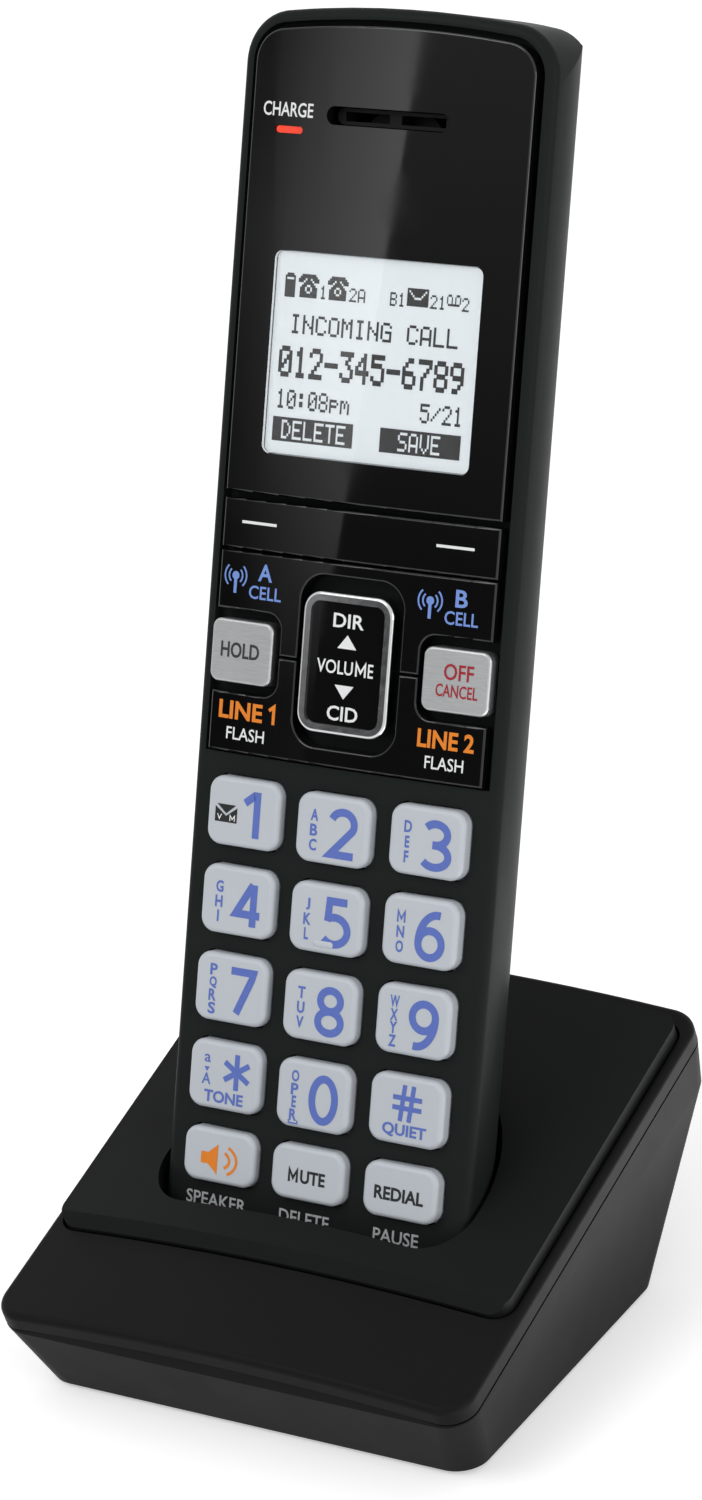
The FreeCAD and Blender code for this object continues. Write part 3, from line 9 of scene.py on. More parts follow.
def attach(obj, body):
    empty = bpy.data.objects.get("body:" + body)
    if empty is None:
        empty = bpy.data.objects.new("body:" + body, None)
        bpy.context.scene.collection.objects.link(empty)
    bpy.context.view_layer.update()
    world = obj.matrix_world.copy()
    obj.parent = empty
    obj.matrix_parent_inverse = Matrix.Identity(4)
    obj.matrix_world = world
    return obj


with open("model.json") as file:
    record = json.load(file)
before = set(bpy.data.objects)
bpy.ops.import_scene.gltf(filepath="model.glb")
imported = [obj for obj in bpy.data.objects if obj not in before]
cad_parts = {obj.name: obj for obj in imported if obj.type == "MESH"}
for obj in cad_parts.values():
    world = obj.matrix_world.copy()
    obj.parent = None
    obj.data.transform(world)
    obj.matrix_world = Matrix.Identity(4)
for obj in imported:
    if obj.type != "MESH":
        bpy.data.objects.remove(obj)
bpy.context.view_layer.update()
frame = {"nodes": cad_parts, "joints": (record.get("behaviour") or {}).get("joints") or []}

nodes = frame["nodes"]
joints = {joint["name"]: joint for joint in frame["joints"]}


# -------------------------------------------------------------- casing
# The handset's shell: a front housing that carries the keys, a rounded back housing and the battery door. They
# are injection moulded ABS in near-black, spark-eroded in the mould to a fine satin, and screwed together.

def linear(code):
    """An sRGB hex colour as the linear numbers that a shader takes: the two branches of the sRGB curve."""
    part = np.array([int(code[i:i + 2], 16) for i in (1, 3, 5)]) / 255
    part = np.where(part <= 0.04045, part / 12.92, ((part + 0.055) / 1.055) ** 2.4)
    return (*part.tolist(), 1.0)


def add(tree, kind, inputs=None, **settings):
    """Add a node: settings go on the node, and each input is a number, a colour or the output that feeds it."""
    node = tree.nodes.new(kind)
    for key, setting in settings.items():
        setattr(node, key, setting)
    for socket, source in (inputs or {}).items():
        if isinstance(source, bpy.types.NodeSocket):
            tree.links.new(source, node.inputs[socket])
        else:
            node.inputs[socket].default_value = source
    return node


def finish(name, **sockets):
    """Start a material: its shader, with the constants straight on the shader's own sockets."""
    material = bpy.data.materials.new(name)
    material.use_nodes = True
    shader = material.node_tree.nodes["Principled BSDF"]
    for socket, setting in sockets.items():
        shader.inputs[socket.replace("_", " ")].default_value = setting
    return material, material.node_tree, shader


def dress(material, *names):
    """Put a material on CAD nodes, in every slot that their faces use."""
    for name in names:
        mesh = nodes[name].data
        if not mesh.materials:
            mesh.materials.append(None)
        for slot in range(len(mesh.materials)):
            mesh.materials[slot] = material


colour_drift, polish_drift, polish_range = 0.03, 0.006, 0.05


def grained(name, colour, colour_2, rough, grain_mm, bump_mm, **sockets):
    """A moulded plastic: its colour drifts a little over centimetres, its polish over millimetres, and the
    mould's grain stands as high as bump_mm."""
    material, tree, shader = finish(name, **sockets)
    place = add(tree, "ShaderNodeTexCoord").outputs["Object"]
    drift = add(tree, "ShaderNodeTexNoise", {"Vector": place, "Scale": 1 / colour_drift, "Detail": 3.0})
    tone = add(tree, "ShaderNodeMix", {"Factor": drift.outputs["Fac"], "A": linear(colour),
                                       "B": linear(colour_2)}, data_type="RGBA")
    tree.links.new(tone.outputs["Result"], shader.inputs["Base Color"])
    handled = add(tree, "ShaderNodeTexNoise", {"Vector": place, "Scale": 1 / polish_drift, "Detail": 4.0})
    polish = add(tree, "ShaderNodeMapRange", {"Value": handled.outputs["Fac"], "To Min": rough - polish_range,
                                              "To Max": rough + polish_range})
    tree.links.new(polish.outputs["Result"], shader.inputs["Roughness"])
    grain = add(tree, "ShaderNodeTexNoise", {"Vector": place, "Scale": 1000 / grain_mm, "Detail": 2.0,
                                             "Roughness": 0.6})
    bump = add(tree, "ShaderNodeBump", {"Height": grain.outputs["Fac"], "Strength": 1.0,
                                        "Distance": bump_mm / 1000})
    tree.links.new(bump.outputs["Normal"], shader.inputs["Normal"])
    return material


# Near-black ABS with a spark-eroded satin: soft broad highlights with a faint green-grey cast, and no sparkle.
satin_abs = grained("abs_satin_spark_eroded", "#1D2120", "#212524", 0.42, 0.35, 0.006,
                    IOR=1.53, Specular_IOR_Level=0.035)
dress(satin_abs, "front_housing", "back_housing", "battery_door")


# -------------------------------------------------------------- places on the handset
# The handset's own frame, which its joints give: x across, y up from its lower end, z out of the face. Everything
# printed on the handset is placed in it, in millimetres.

up = np.array(joints["handset_lift"]["axis"], float)
out = -np.array(joints["hold_press"]["axis"], float)
across = np.array([1.0, 0.0, 0.0])
nav_middle = 89.85
hinge_depth = 1.0
home = np.array(joints["navigation_rock"]["pos_m"]) - up * nav_middle / 1000 + out * hinge_depth / 1000
crown_radius = 313.0


def on_handset(x, y, z):
    """Points of the handset's frame, in millimetres, as points of the row's frame in metres."""
    x, y, z = np.broadcast_arrays(np.asarray(x, float), y, z)
    return home + (x[..., None] * across + y[..., None] * up + z[..., None] * out) / 1000


def fall(x):
    """How far the crowned face lies below its middle: radius less the root of radius squared less x squared."""
    return crown_radius - np.sqrt(crown_radius ** 2 - np.asarray(x, float) ** 2)


# -------------------------------------------------------------- gloss panel and plates
# The bezel round the display, the soft-key bar and the two see-saw plates: ABS moulded in a mirror-polished tool.
# The surface has a faint waviness from moulding, and is black right through.

# Mirror-polished black: deep, with sharp reflections that bend a little over the moulding's waves, which are 20 mm
# apart and a hundredth of a millimetre high. Fingers leave a slightly duller film in patches.
finger_patch = 0.008
panel, tree, shader = finish("abs_mirror_polished", Base_Color=linear("#0B0B0C"), IOR=1.49, Roughness=0.04)
place = add(tree, "ShaderNodeTexCoord").outputs["Object"]
film = add(tree, "ShaderNodeTexNoise", {"Vector": place, "Scale": 1 / finger_patch, "Detail": 5.0})
haze = add(tree, "ShaderNodeMapRange", {"Value": film.outputs["Fac"], "From Min": 0.35, "From Max": 0.75,
                                        "To Min": 0.03, "To Max": 0.09})
tree.links.new(haze.outputs["Result"], shader.inputs["Roughness"])
wave = add(tree, "ShaderNodeTexNoise", {"Vector": place, "Scale": 1 / 0.02, "Detail": 0.0})
bump = add(tree, "ShaderNodeBump", {"Height": wave.outputs["Fac"], "Strength": 1.0, "Distance": 0.00001})
tree.links.new(bump.outputs["Normal"], shader.inputs["Normal"])
dress(panel, "front_bezel", "softkey_bar", "cell_key_plate", "line_key_plate", "nav_key")


# -------------------------------------------------------------- printing
# Words, digits and signs are pad printed: a film of ink a few hundredths of a millimetre thick on the plastic.
# Each print is a flat mesh laid on the surface that carries it.

ink_lift, layer_step = 0.03, 0.002


def words(text, left, right, low, high, weight):
    """A word as flat triangles, fitted to a box in millimetres. Weight thickens its strokes."""
    curve = bpy.data.curves.new("lettering", "FONT")
    curve.body, curve.offset, curve.resolution_u = text, weight, 3
    holder = bpy.data.objects.new("lettering", curve)
    mesh = bpy.data.meshes.new_from_object(holder)
    points = np.empty(len(mesh.vertices) * 3)
    mesh.vertices.foreach_get("co", points)
    points = points.reshape(-1, 3)[:, :2]
    faces = [tuple(face.vertices) for face in mesh.polygons]
    bpy.data.objects.remove(holder)
    bpy.data.curves.remove(curve)
    bpy.data.meshes.remove(mesh)
    start, size = points.min(0), np.ptp(points, 0)
    return (points - start) / size * (right - left, high - low) + (left, low), faces


def stroke(path, width):
    """A ribbon along a path: each point is moved both ways along the mean of its two sides' normals, and by
    more at a bend, so that the ribbon keeps its width. At the sharpest bends that growth has a limit."""
    most_growth = 1 / 0.35
    path = np.array(path, float)
    closed = np.allclose(path[0], path[-1])
    run = np.diff(path, axis=0)
    run /= np.linalg.norm(run, axis=1)[:, None]
    before = np.vstack([run[-1:] if closed else run[:1], run])
    after = np.vstack([run, run[:1] if closed else run[-1:]])
    mean = before + after
    mean /= np.linalg.norm(mean, axis=1)[:, None]
    grow = 1 / np.maximum((mean * after).sum(1), 1 / most_growth)
    side = np.stack([-mean[:, 1], mean[:, 0]], 1) * (width / 2 * grow)[:, None]
    count = len(path)
    index = np.arange(count - 1)
    faces = np.stack([index + count, index + count + 1, index + 1, index], 1)
    return np.vstack([path + side, path - side]), [tuple(face) for face in faces.tolist()]


def bow(x, y, half_width, half_height, start, end, points=20):
    """Points of an ellipse's arc between two angles in degrees."""
    angle = np.radians(np.linspace(start, end, points))
    return np.stack([x + half_width * np.cos(angle), y + half_height * np.sin(angle)], 1)


def area(*corners):
    """A filled outline."""
    return np.array(corners, float), [tuple(range(len(corners)))]


def letter_m(left, right, low, high, width):
    """The letter M as one ribbon: thickening would fill the corners of the font's own."""
    first, last, middle = left + width / 2, right - width / 2, (left + right) / 2
    shoulder, waist = high - width / 2, low + 0.3 * (high - low)
    return stroke([(first, low), (first, shoulder), (middle, waist), (last, shoulder), (last, low)], width)


def moved(shape, x, y):
    """A shape shifted in its plane."""
    return shape[0] + (x, y), shape[1]


def around(x, y, *corners):
    """A filled outline whose corners are given from a place."""
    return area(*[(x + a, y + b) for a, b in corners])


def build(name, points, faces, material, body):
    """Make a piece from points in metres and faces, give it its material and let it ride on a body."""
    mesh = bpy.data.meshes.new(name)
    mesh.from_pydata(np.asarray(points).tolist(), [], faces)
    mesh.materials.append(material)
    piece = bpy.data.objects.new(name, mesh)
    bpy.context.collection.objects.link(piece)
    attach(piece, body)


def print_on(name, shapes, height, body, ink, crowned=True):
    """Lay shapes on the handset at a height over its face's middle, each a hair over the one before, so that
    crossing strokes don't share a plane. Crowned ones sink as the face does. Faces are turned to look out."""
    points, faces, start, layers = [], [], 0, []
    for number, (flat, sides) in enumerate(shapes):
        points.append(flat)
        layers.append(np.full(len(flat), number * layer_step))
        for side in sides:
            x, y = flat[list(side)].T
            turn = np.sum(x * np.roll(y, -1) - y * np.roll(x, -1))
            side = side if turn > 0 else side[::-1]
            faces.append(tuple(start + corner for corner in side))
        start += len(flat)
    x, y = np.vstack(points).T
    level = height + ink_lift + np.concatenate(layers) - (fall(x) if crowned else 0)
    build(name, on_handset(x, y, level), faces, ink, body)


def ink(name, colour, colour_2):
    """Pad-printing ink: a dull film whose colour is a little uneven, from fine speckle in the transfer."""
    material, tree, shader = finish(name, Roughness=0.5, IOR=1.5, Specular_IOR_Level=0.3)
    place = add(tree, "ShaderNodeTexCoord").outputs["Object"]
    speckle = add(tree, "ShaderNodeTexNoise", {"Vector": place, "Scale": 1 / 0.0006, "Detail": 3.0})
    tone = add(tree, "ShaderNodeMix", {"Factor": speckle.outputs["Fac"], "A": linear(colour),
                                       "B": linear(colour_2)}, data_type="RGBA")
    tree.links.new(tone.outputs["Result"], shader.inputs["Base Color"])
    return material


white_ink = ink("ink_white", "#F2F3F3", "#E2E4E5")
grey_ink = ink("ink_pale_grey", "#C3C6C7", "#AEB2B4")
blue_ink = ink("ink_sky_blue", "#7C9CE0", "#6C8CD4")
digit_ink = ink("ink_digit_blue", "#6076C4", "#566BB6")
orange_ink = ink("ink_orange", "#EE8A26", "#E07C1C")
black_ink = ink("ink_black", "#17181B", "#212226")
dark_ink = ink("ink_dark_grey", "#2C2D2F", "#353638")
red_ink = ink("ink_dark_red", "#A32330", "#951D29")

# The bezel's and the bar's prints. The maker's place under the slot stays bare.
gloss_proud = 0.8
print_on("print_charge", [words("CHARGE", -20.5, -12.1, 165.1, 167.1, 0.012)], gloss_proud, "handset",
         white_ink)
print_on("print_softkeys", [around(x, 108.0, (-2.95, -0.2), (2.95, -0.2), (2.95, 0.2), (-2.95, 0.2))
                            for x in (-16.2, 15.7)], gloss_proud, "softkey_bar", white_ink)


def aerial(x, y):
    """An aerial's sign: a dot on a stem between two pairs of waves."""
    shapes = [stroke([(x, y - 2.0), (x, y + 0.5)], 0.5), stroke(bow(x, y + 0.5, 0.3, 0.3, 0, 360, 14), 0.6)]
    for reach in (1.15, 1.85):
        for start in (-48, 132):
            shapes.append(stroke(bow(x, y + 0.5, reach, reach, start, start + 96, 12), 0.26))
    return shapes


print_on("print_cell", aerial(-19.6, 99.8) + aerial(12.45, 99.8) + [
    words("A", -15.75, -13.35, 99.9, 102.35, 0.02), words("B", 16.35, 18.25, 99.8, 102.25, 0.02),
    words("CELL", -17.15, -11.65, 97.3, 99.2, 0.012), words("CELL", 14.85, 20.05, 97.3, 99.2, 0.012)],
    gloss_proud, "cell_key", blue_ink)
print_on("print_line", [words("LINE", -20.9, -13.4, 79.9, 82.5, 0.028),
                        stroke([(-11.5, 79.9), (-11.5, 82.45), (-12.3, 81.85)], 0.5),
                        words("LINE 2", 12.05, 20.85, 79.9, 82.5, 0.028)],
         gloss_proud, "line_key", orange_ink)
print_on("print_flash", [words("FLASH", -19.35, -12.85, 77.0, 78.8, 0.006),
                         words("FLASH", 13.45, 19.45, 77.0, 78.8, 0.006)],
         gloss_proud, "line_key", white_ink)


# -------------------------------------------------------------- navigation key
# A die-cast ring, polished and chromium plated, frames a gloss black key that rocks up and down. Arrows and
# words are printed on the black.

# Chromium: bright and sharp, and a little blurred in specks a millimetre wide where it is handled.
chrome, tree, shader = finish("zinc_chromium_plated", Base_Color=linear("#C9CACC"), Metallic=1.0,
                              Roughness=0.12)
place = add(tree, "ShaderNodeTexCoord").outputs["Object"]
rubbed = add(tree, "ShaderNodeTexNoise", {"Vector": place, "Scale": 1 / 0.0012, "Detail": 4.0})
wear = add(tree, "ShaderNodeMapRange", {"Value": rubbed.outputs["Fac"], "To Min": 0.1, "To Max": 0.24})
tree.links.new(wear.outputs["Result"], shader.inputs["Roughness"])
dress(chrome, "nav_ring")

nav_face = 1.3
print_on("print_navigation", [
    words("DIR", -2.4, 2.6, 95.0, 97.0, 0.016), words("CID", -2.4, 2.6, 81.9, 84.0, 0.016),
    words("VOLU", -4.6, 1.3, 88.45, 90.4, 0.012), letter_m(1.7, 3.45, 88.45, 90.4, 0.32),
    words("E", 3.75, 4.6, 88.45, 90.4, 0.012),
    area((-1.45, 92.1), (1.65, 92.1), (0.1, 94.05)), area((-1.45, 86.95), (0.1, 85.0), (1.65, 86.95))],
    nav_face, "navigation_key", white_ink)


# -------------------------------------------------------------- hold and off keys
# Two caps of aluminium sheet over plastic, brushed across and clear anodised, with a bright rolled edge.

# Brushed aluminium: a soft grey sheen, streaked across the caps. The brush's scratches are 0.05 mm apart in truth,
# and drawn 0.15 mm apart so that they show.
brushed, tree, shader = finish("aluminium_brushed_anodised", Metallic=1.0, Roughness=0.42)
place = add(tree, "ShaderNodeTexCoord").outputs["Object"]
along = add(tree, "ShaderNodeMapping", {"Vector": place, "Scale": (350.0, 6500.0, 6500.0)})
scratch = add(tree, "ShaderNodeTexNoise", {"Vector": along.outputs["Vector"], "Scale": 1.0, "Detail": 4.0})
tone = add(tree, "ShaderNodeMix", {"Factor": scratch.outputs["Fac"], "A": linear("#9EA0A1"),
                                   "B": linear("#C0C1C2")}, data_type="RGBA")
tree.links.new(tone.outputs["Result"], shader.inputs["Base Color"])
bump = add(tree, "ShaderNodeBump", {"Height": scratch.outputs["Fac"], "Strength": 0.6, "Distance": 0.00003})
tree.links.new(bump.outputs["Normal"], shader.inputs["Normal"])
dress(brushed, "hold_key", "off_key")

side_proud = 1.3
print_on("print_hold", [words("HOLD", -21.0, -14.4, 88.65, 90.9, 0.02)], side_proud, "hold_key", dark_ink)
print_on("print_off", [words("OFF", 15.65, 20.25, 89.7, 92.0, 0.014),
                       words("CANCEL", 14.55, 21.05, 87.3, 89.1, 0.014)], side_proud, "off_key", red_ink)


# -------------------------------------------------------------- keypad keys
# Each key is a cap of pale blue-grey ABS with a soft rounded rim, moulded with a fine matte texture. The digits
# and letters are printed on its flat top.

# Pale matte ABS: no clear reflection, only a soft lightening along the rounded rims.
key_abs = grained("abs_key_matte", "#BCC2C9", "#C4CAD0", 0.36, 0.25, 0.003, IOR=1.5, Specular_IOR_Level=0.4)
keypad = ["key_%d" % digit for digit in range(1, 10)] + ["key_star", "key_0", "key_hash"]
function_keys = ["key_speaker", "key_mute", "key_redial"]
dress(key_abs, *keypad, *function_keys)

# The keys' places, and the digits' size and stroke. The middle column sits a little lower than the others.
column_pitch, row_pitch, digit_row, function_row, middle_drop = 15.0, 12.68, 28.8, 17.1, 0.35
key_proud = 1.6
digit_wide, digit_high, digit_stroke = 4.85, 7.2, 1.12
W, H = digit_wide - digit_stroke, digit_high - digit_stroke

# Each digit is one or more strokes in a box W wide and H high: straight runs and arcs of ellipses.
digits = {
    "0": [bow(W / 2, H / 2, W / 2, H / 2, 0, 360, 41)],
    "1": [[(0.62 * W, 0), (0.62 * W, H), (0.5 * W, H), (0.08 * W, 0.8 * H)]],
    "2": [np.vstack([bow(0.47 * W, 0.72 * H, 0.5 * W, 0.28 * H, 160, -28, 20), [(0, 0), (W, 0)]])],
    "3": [np.vstack([bow(0.42 * W, 0.755 * H, 0.5 * W, 0.245 * H, 145, -88, 20), [(0.3 * W, 0.51 * H)]]),
          np.vstack([[(0.3 * W, 0.51 * H)], bow(0.42 * W, 0.255 * H, 0.58 * W, 0.255 * H, 88, -145, 22)])],
    "4": [[(0.76 * W, 0), (0.76 * W, H)], [(0.7 * W, H), (0, 0.28 * H), (1.06 * W, 0.28 * H)]],
    "5": [[(0.92 * W, H), (0.16 * W, H), (0.11 * W, 0.52 * H)],
          bow(0.42 * W, 0.315 * H, 0.58 * W, 0.315 * H, 122, -140, 24)],
    "6": [bow(W / 2, 0.31 * H, W / 2, 0.31 * H, 0, 360, 33),
          bow(0.78 * W, 0.33 * H, 0.78 * W, 0.67 * H, 184, 82, 20)],
    "7": [[(0, H), (W, H), (0.94 * W, 0.86 * H), (0.32 * W, 0)]],
    "8": [bow(W / 2, 0.755 * H, 0.44 * W, 0.245 * H, 0, 360, 33),
          bow(W / 2, 0.255 * H, W / 2, 0.255 * H, 0, 360, 33)],
    "9": [bow(W / 2, 0.69 * H, W / 2, 0.31 * H, 0, 360, 33),
          bow(0.22 * W, 0.67 * H, 0.78 * W, 0.67 * H, 4, -98, 20)],
}
# On each key the digit stands right of the middle, and its letters stand in a column on the left.
digit_x, digit_y = 1.85, -0.3
letter_x, letter_half, letter_high = -2.95, 0.72, 1.7
letters = {"2": "ABC", "3": "DEF", "4": "GHI", "5": "JKL", "6": "MNO", "7": "PQRS", "8": "TUV", "9": "WXYZ",
           "0": "OPER"}
narrow = {"I": 0.2, "J": 0.45, "E": 0.5, "F": 0.5, "L": 0.5, "M": 0.95, "W": 1.05}


def key_place(node):
    """The middle of a key's top: three columns, four rows of digits, and one row of function keys below."""
    row, column = divmod((keypad + function_keys).index(node), 3)
    x = (column - 1) * column_pitch
    drop = middle_drop if column == 1 else 0
    y = digit_row + (3 - row) * row_pitch - drop if row < 4 else function_row
    return x, y, key_proud - float(fall(x))


for node in keypad:
    x, y, level = key_place(node)
    sign = node[len("key_"):]
    shapes = []
    if sign in digits:
        for path in digits[sign]:
            shapes.append(moved(stroke(path, digit_stroke), x + digit_x - W / 2, y + digit_y - H / 2))
        word = letters.get(sign, "")
        heights = {3: (1.85, -0.3, -2.4), 4: (2.5, 0.6, -1.2, -3.1)}.get(len(word), ())
        for letter, lift in zip(word, heights):
            half = letter_half * narrow.get(letter, 0.85)
            box = (x + letter_x - half, x + letter_x + half,
                   y + lift - letter_high / 2, y + lift + letter_high / 2)
            shapes.append(letter_m(*box, 0.28) if letter == "M" else words(letter, *box, 0.03))
    if sign == "0":
        low = y - 4.3
        shapes.append(stroke([(x - 3.6, low + 0.45), (x - 3.6, low), (x - 2.2, low), (x - 2.2, low + 0.45)],
                             0.2))
    if sign == "star":
        middle = np.array([x + 2.05, y + 0.85])
        for angle in np.radians((90, 30, 150)):
            reach = np.array([math.cos(angle), math.sin(angle)]) * (2.35, 2.6)
            shapes.append(stroke([middle - reach, middle + reach], 0.82))
        shapes.append(words("a", x - 3.45, x - 2.4, y + 1.7, y + 2.85, 0.012))
        shapes.append(around(x, y, (-3.4, 1.05), (-2.95, 0.35), (-2.5, 1.05)))
        shapes.append(words("A", x - 3.7, x - 2.2, y - 1.5, y + 0.15, 0.012))
        shapes.append(words("TONE", x - 3.15, x + 3.4, y - 3.95, y - 2.2, 0.03))
    if sign == "hash":
        for side in (-0.72, 0.72):
            shapes.append(stroke([(x + side - 0.05, y - 1.55), (x + side + 0.45, y + 3.65)], 0.7))
            shapes.append(stroke([(x - 2.1, y + 1.05 + side), (x + 2.6, y + 1.05 + side)], 0.7))
        shapes.append(words("QUIET", x - 3.5, x + 3.6, y - 3.95, y - 1.95, 0.03))
    print_on("print_" + node, shapes, level, node, digit_ink, crowned=False)

# The message sign on the first key, with its two letters.
x, y, level = key_place("key_1")
print_on("print_message", [
    around(x, y, (-4.6, -1.6), (-0.95, -1.6), (-0.95, 0.6), (-2.75, -0.7), (-4.6, 0.6)),
    around(x, y, (-4.35, 0.95), (-2.75, -0.35), (-1.2, 0.95))],
    level, "key_1", black_ink, crowned=False)
print_on("print_message_letters", [words("V", x - 4.25, x - 3.45, y - 1.35, y - 0.5, 0.01),
                                   letter_m(x - 2.15, x - 1.25, y - 1.35, y - 0.5, 0.15)],
         level + 0.02, "key_1", white_ink, crowned=False)


def pill(name, x, y, level, length, width, rise, material, body):
    """A raised bar with round ends: a stadium outline drawn in and up along a quarter circle to its ridge."""
    rings, points = 7, 40
    turn = np.linspace(0, 2 * math.pi, points, endpoint=False)
    climb = np.linspace(0, math.pi / 2, rings)[:, None]
    radius = width / 2 * np.cos(climb)
    spine = np.sign(np.cos(turn)) * (length - width) / 2
    px, py = x + spine + radius * np.cos(turn), y + radius * np.sin(turn)
    grid = on_handset(px, py, level + rise * np.sin(climb))
    i, j = np.meshgrid(np.arange(rings - 1), np.arange(points), indexing="ij")
    k = (j + 1) % points
    faces = np.stack([i * points + j, i * points + k, (i + 1) * points + k, (i + 1) * points + j], -1)
    build(name, grid.reshape(-1, 3), faces.reshape(-1, 4).tolist(), material, body)


# The raised bar that a finger feels on the middle key, sunk a little into its top.
sunk = 0.02
x, y, level = key_place("key_5")
pill("finger_bar", x - 0.1, y - 3.55, level - sunk, 3.3, 0.95, 0.22, key_abs, "key_5")

# The function keys: a loudspeaker's sign and two words, and the second row of words on the casing below them.
x, y, level = key_place("key_speaker")
y -= 0.4
horn = [around(x, y, (-2.9, -0.85), (-1.7, -0.85), (-0.1, -2.2), (-0.1, 2.2), (-1.7, 0.85), (-2.9, 0.85))]
for reach in (1.55, 2.75):
    horn.append(stroke(bow(x + 0.3, y, reach, reach * 0.8, -62, 62, 16), 0.42))
print_on("print_speaker", horn, level, "key_speaker", orange_ink, crowned=False)
x, y, level = key_place("key_mute")
print_on("print_mute", [letter_m(x - 3.0, x - 1.35, y - 1.35, y + 0.6, 0.38),
                        words("UTE", x - 1.0, x + 3.1, y - 1.35, y + 0.6, 0.032)], level, "key_mute",
         black_ink, crowned=False)
x, y, level = key_place("key_redial")
print_on("print_redial", [words("REDIAL", x - 4.0, x + 4.0, y - 1.35, y + 0.6, 0.032)], level, "key_redial",
         black_ink, crowned=False)
print_on("print_second_row", [words("SPEAKER", -21.1, -10.7, 9.3, 11.25, 0.012),
                              words("DELETE", -5.0, 3.3, 9.3, 11.25, 0.012),
                              words("PAUSE", 10.5, 17.7, 9.3, 11.25, 0.012)], 0.0, "handset", grey_ink)


# -------------------------------------------------------------- display
# A reflective liquid-crystal glass, pale with a faint glow of painted light, under a clear acrylic window that is
# flush with the bezel. The picture is dark dots on a fine square grid.

# Off-white polariser film over a diffuser: matte and pale, with a faint glow of painted light.
paper = grained("polariser_film_painted_glow", "#DCE3E7", "#E3E9EC", 0.45, 0.3, 0.0005, IOR=1.5,
                Specular_IOR_Level=0.3, Emission_Color=linear("#DDE5EA"), Emission_Strength=0.32)
dress(paper, "lcd_module")
# Polished acrylic: clear and sharp, with the fingers' film as a faint blur in patches.
acrylic, tree, shader = finish("acrylic_clear_polished", Base_Color=linear("#FFFFFF"), Transmission_Weight=1.0,
                               IOR=1.49, Roughness=0.0)
place = add(tree, "ShaderNodeTexCoord").outputs["Object"]
film = add(tree, "ShaderNodeTexNoise", {"Vector": place, "Scale": 1 / finger_patch, "Detail": 5.0})
haze = add(tree, "ShaderNodeMapRange", {"Value": film.outputs["Fac"], "From Min": 0.4, "From Max": 0.8,
                                        "To Min": 0.0, "To Max": 0.03})
tree.links.new(haze.outputs["Result"], shader.inputs["Roughness"])
dress(acrylic, "display_window")

# Each letter is five columns of seven dots, a byte to a column with its lowest bit at the top.
dot_letters = dict(zip("ACDEGILMNOPSTV0123456789-:/mpB", (
    "7E1111117E 3E41414122 7F4141221C 7F49494941 3E4149497A 00417F4100 7F40404040 7F020C027F 7F0408107F "
    "3E4141413E 7F09090906 4649494931 01017F0101 1F2040201F 3E5149453E 00427F4000 4261514946 2141454B31 "
    "1814127F10 2745454539 3C4A494930 0171090503 3649494936 064949291E 0808080808 0036360000 2010080402 "
    "7C04180478 7C14141408 7F49494936").split()))
dot_letters[" "] = "0000000000"


def dots_of(text):
    """Words as a grid of dots, seven high and six columns to a letter: each byte opened into its bits."""
    code = bytes.fromhex("".join(dot_letters[letter] + "00" for letter in text))
    bits = np.unpackbits(np.frombuffer(code, np.uint8)[:, None], axis=1, bitorder="little")
    return bits[:, :7].T.astype(bool)[:, :-1]


def drawn(*rows):
    """A sign drawn as rows of dots."""
    return np.array([[dot == "#" for dot in row] for row in rows])


def dots(grid, left, right, low, high, fill=1.0):
    """One small square for every dot that is on, in a box in millimetres."""
    tall, wide = grid.shape
    step = np.array([(right - left) / wide, (high - low) / tall])
    row, column = np.nonzero(grid)
    middle = np.stack([left + (column + 0.5) * step[0], high - (row + 0.5) * step[1]], 1)
    corner = np.array([(-1, -1), (1, -1), (1, 1), (-1, 1)]) * step / 2 * fill
    points = (middle[:, None] + corner).reshape(-1, 2)
    return points, [tuple(range(4 * i, 4 * i + 4)) for i in range(len(row))]


telephone = drawn("..########..", ".##########.", "####.##.####", "###.####.###", "...######...",
                  "..###..###..", ".###.##.###.", ".###.##.###.", ".####..####.", ".##########.",
                  ".##########.")
battery = drawn(".####.", "######", "#....#", *["######"] * 8)
letter_sign = drawn("############", "#.########.#", "##.######.##", "###.####.###", "####....####",
                    *["############"] * 3)
reels = drawn(".###....###.", "#...#..#...#", "#...#..#...#", "#...#..#...#", ".##########.")
label = np.ones((9, 44), bool)
delete_label, save_label = label.copy(), label.copy()
delete_label[1:8, 5:40] &= ~dots_of("DELETE")
save_label[1:8, 10:33] &= ~dots_of("SAVE")
picture = [
    dots(battery, -15.2, -13.5, 140.1, 143.5), dots(telephone, -13.0, -9.6, 140.2, 143.5),
    dots(dots_of("1"), -9.4, -8.3, 140.2, 142.1), dots(telephone, -8.2, -4.8, 140.2, 143.5),
    dots(dots_of("2A"), -4.6, -2.0, 140.2, 142.1), dots(dots_of("B1"), 2.0, 4.4, 140.2, 142.1),
    dots(letter_sign, 4.7, 8.1, 140.4, 142.9), dots(dots_of("21"), 8.4, 10.8, 140.3, 142.2),
    dots(reels, 11.0, 13.2, 140.9, 142.5), dots(dots_of("2"), 13.4, 14.5, 140.3, 142.2),
    dots(dots_of("INCOMING CALL"), -13.9, 13.2, 135.1, 137.8),
    dots(dots_of("012-345-6789"), -15.3, 14.5, 129.0, 133.2, 1.25),
    dots(dots_of("10:08pm"), -15.3, -3.3, 124.5, 127.2), dots(dots_of("5/21"), 8.1, 14.8, 124.5, 127.2),
    dots(delete_label, -15.6, -2.4, 119.9, 123.3), dots(save_label, 2.0, 14.8, 119.9, 123.3)]
crystal = ink("liquid_crystal_dark", "#141518", "#1B1D20")
glass_level = -0.75
print_on("display_picture", picture, glass_level, "handset", crystal, crowned=False)


# -------------------------------------------------------------- earpiece and charge light
# Behind the long slot sits a black moulded grille. The light is a clear red pipe that ends flush in the bezel.

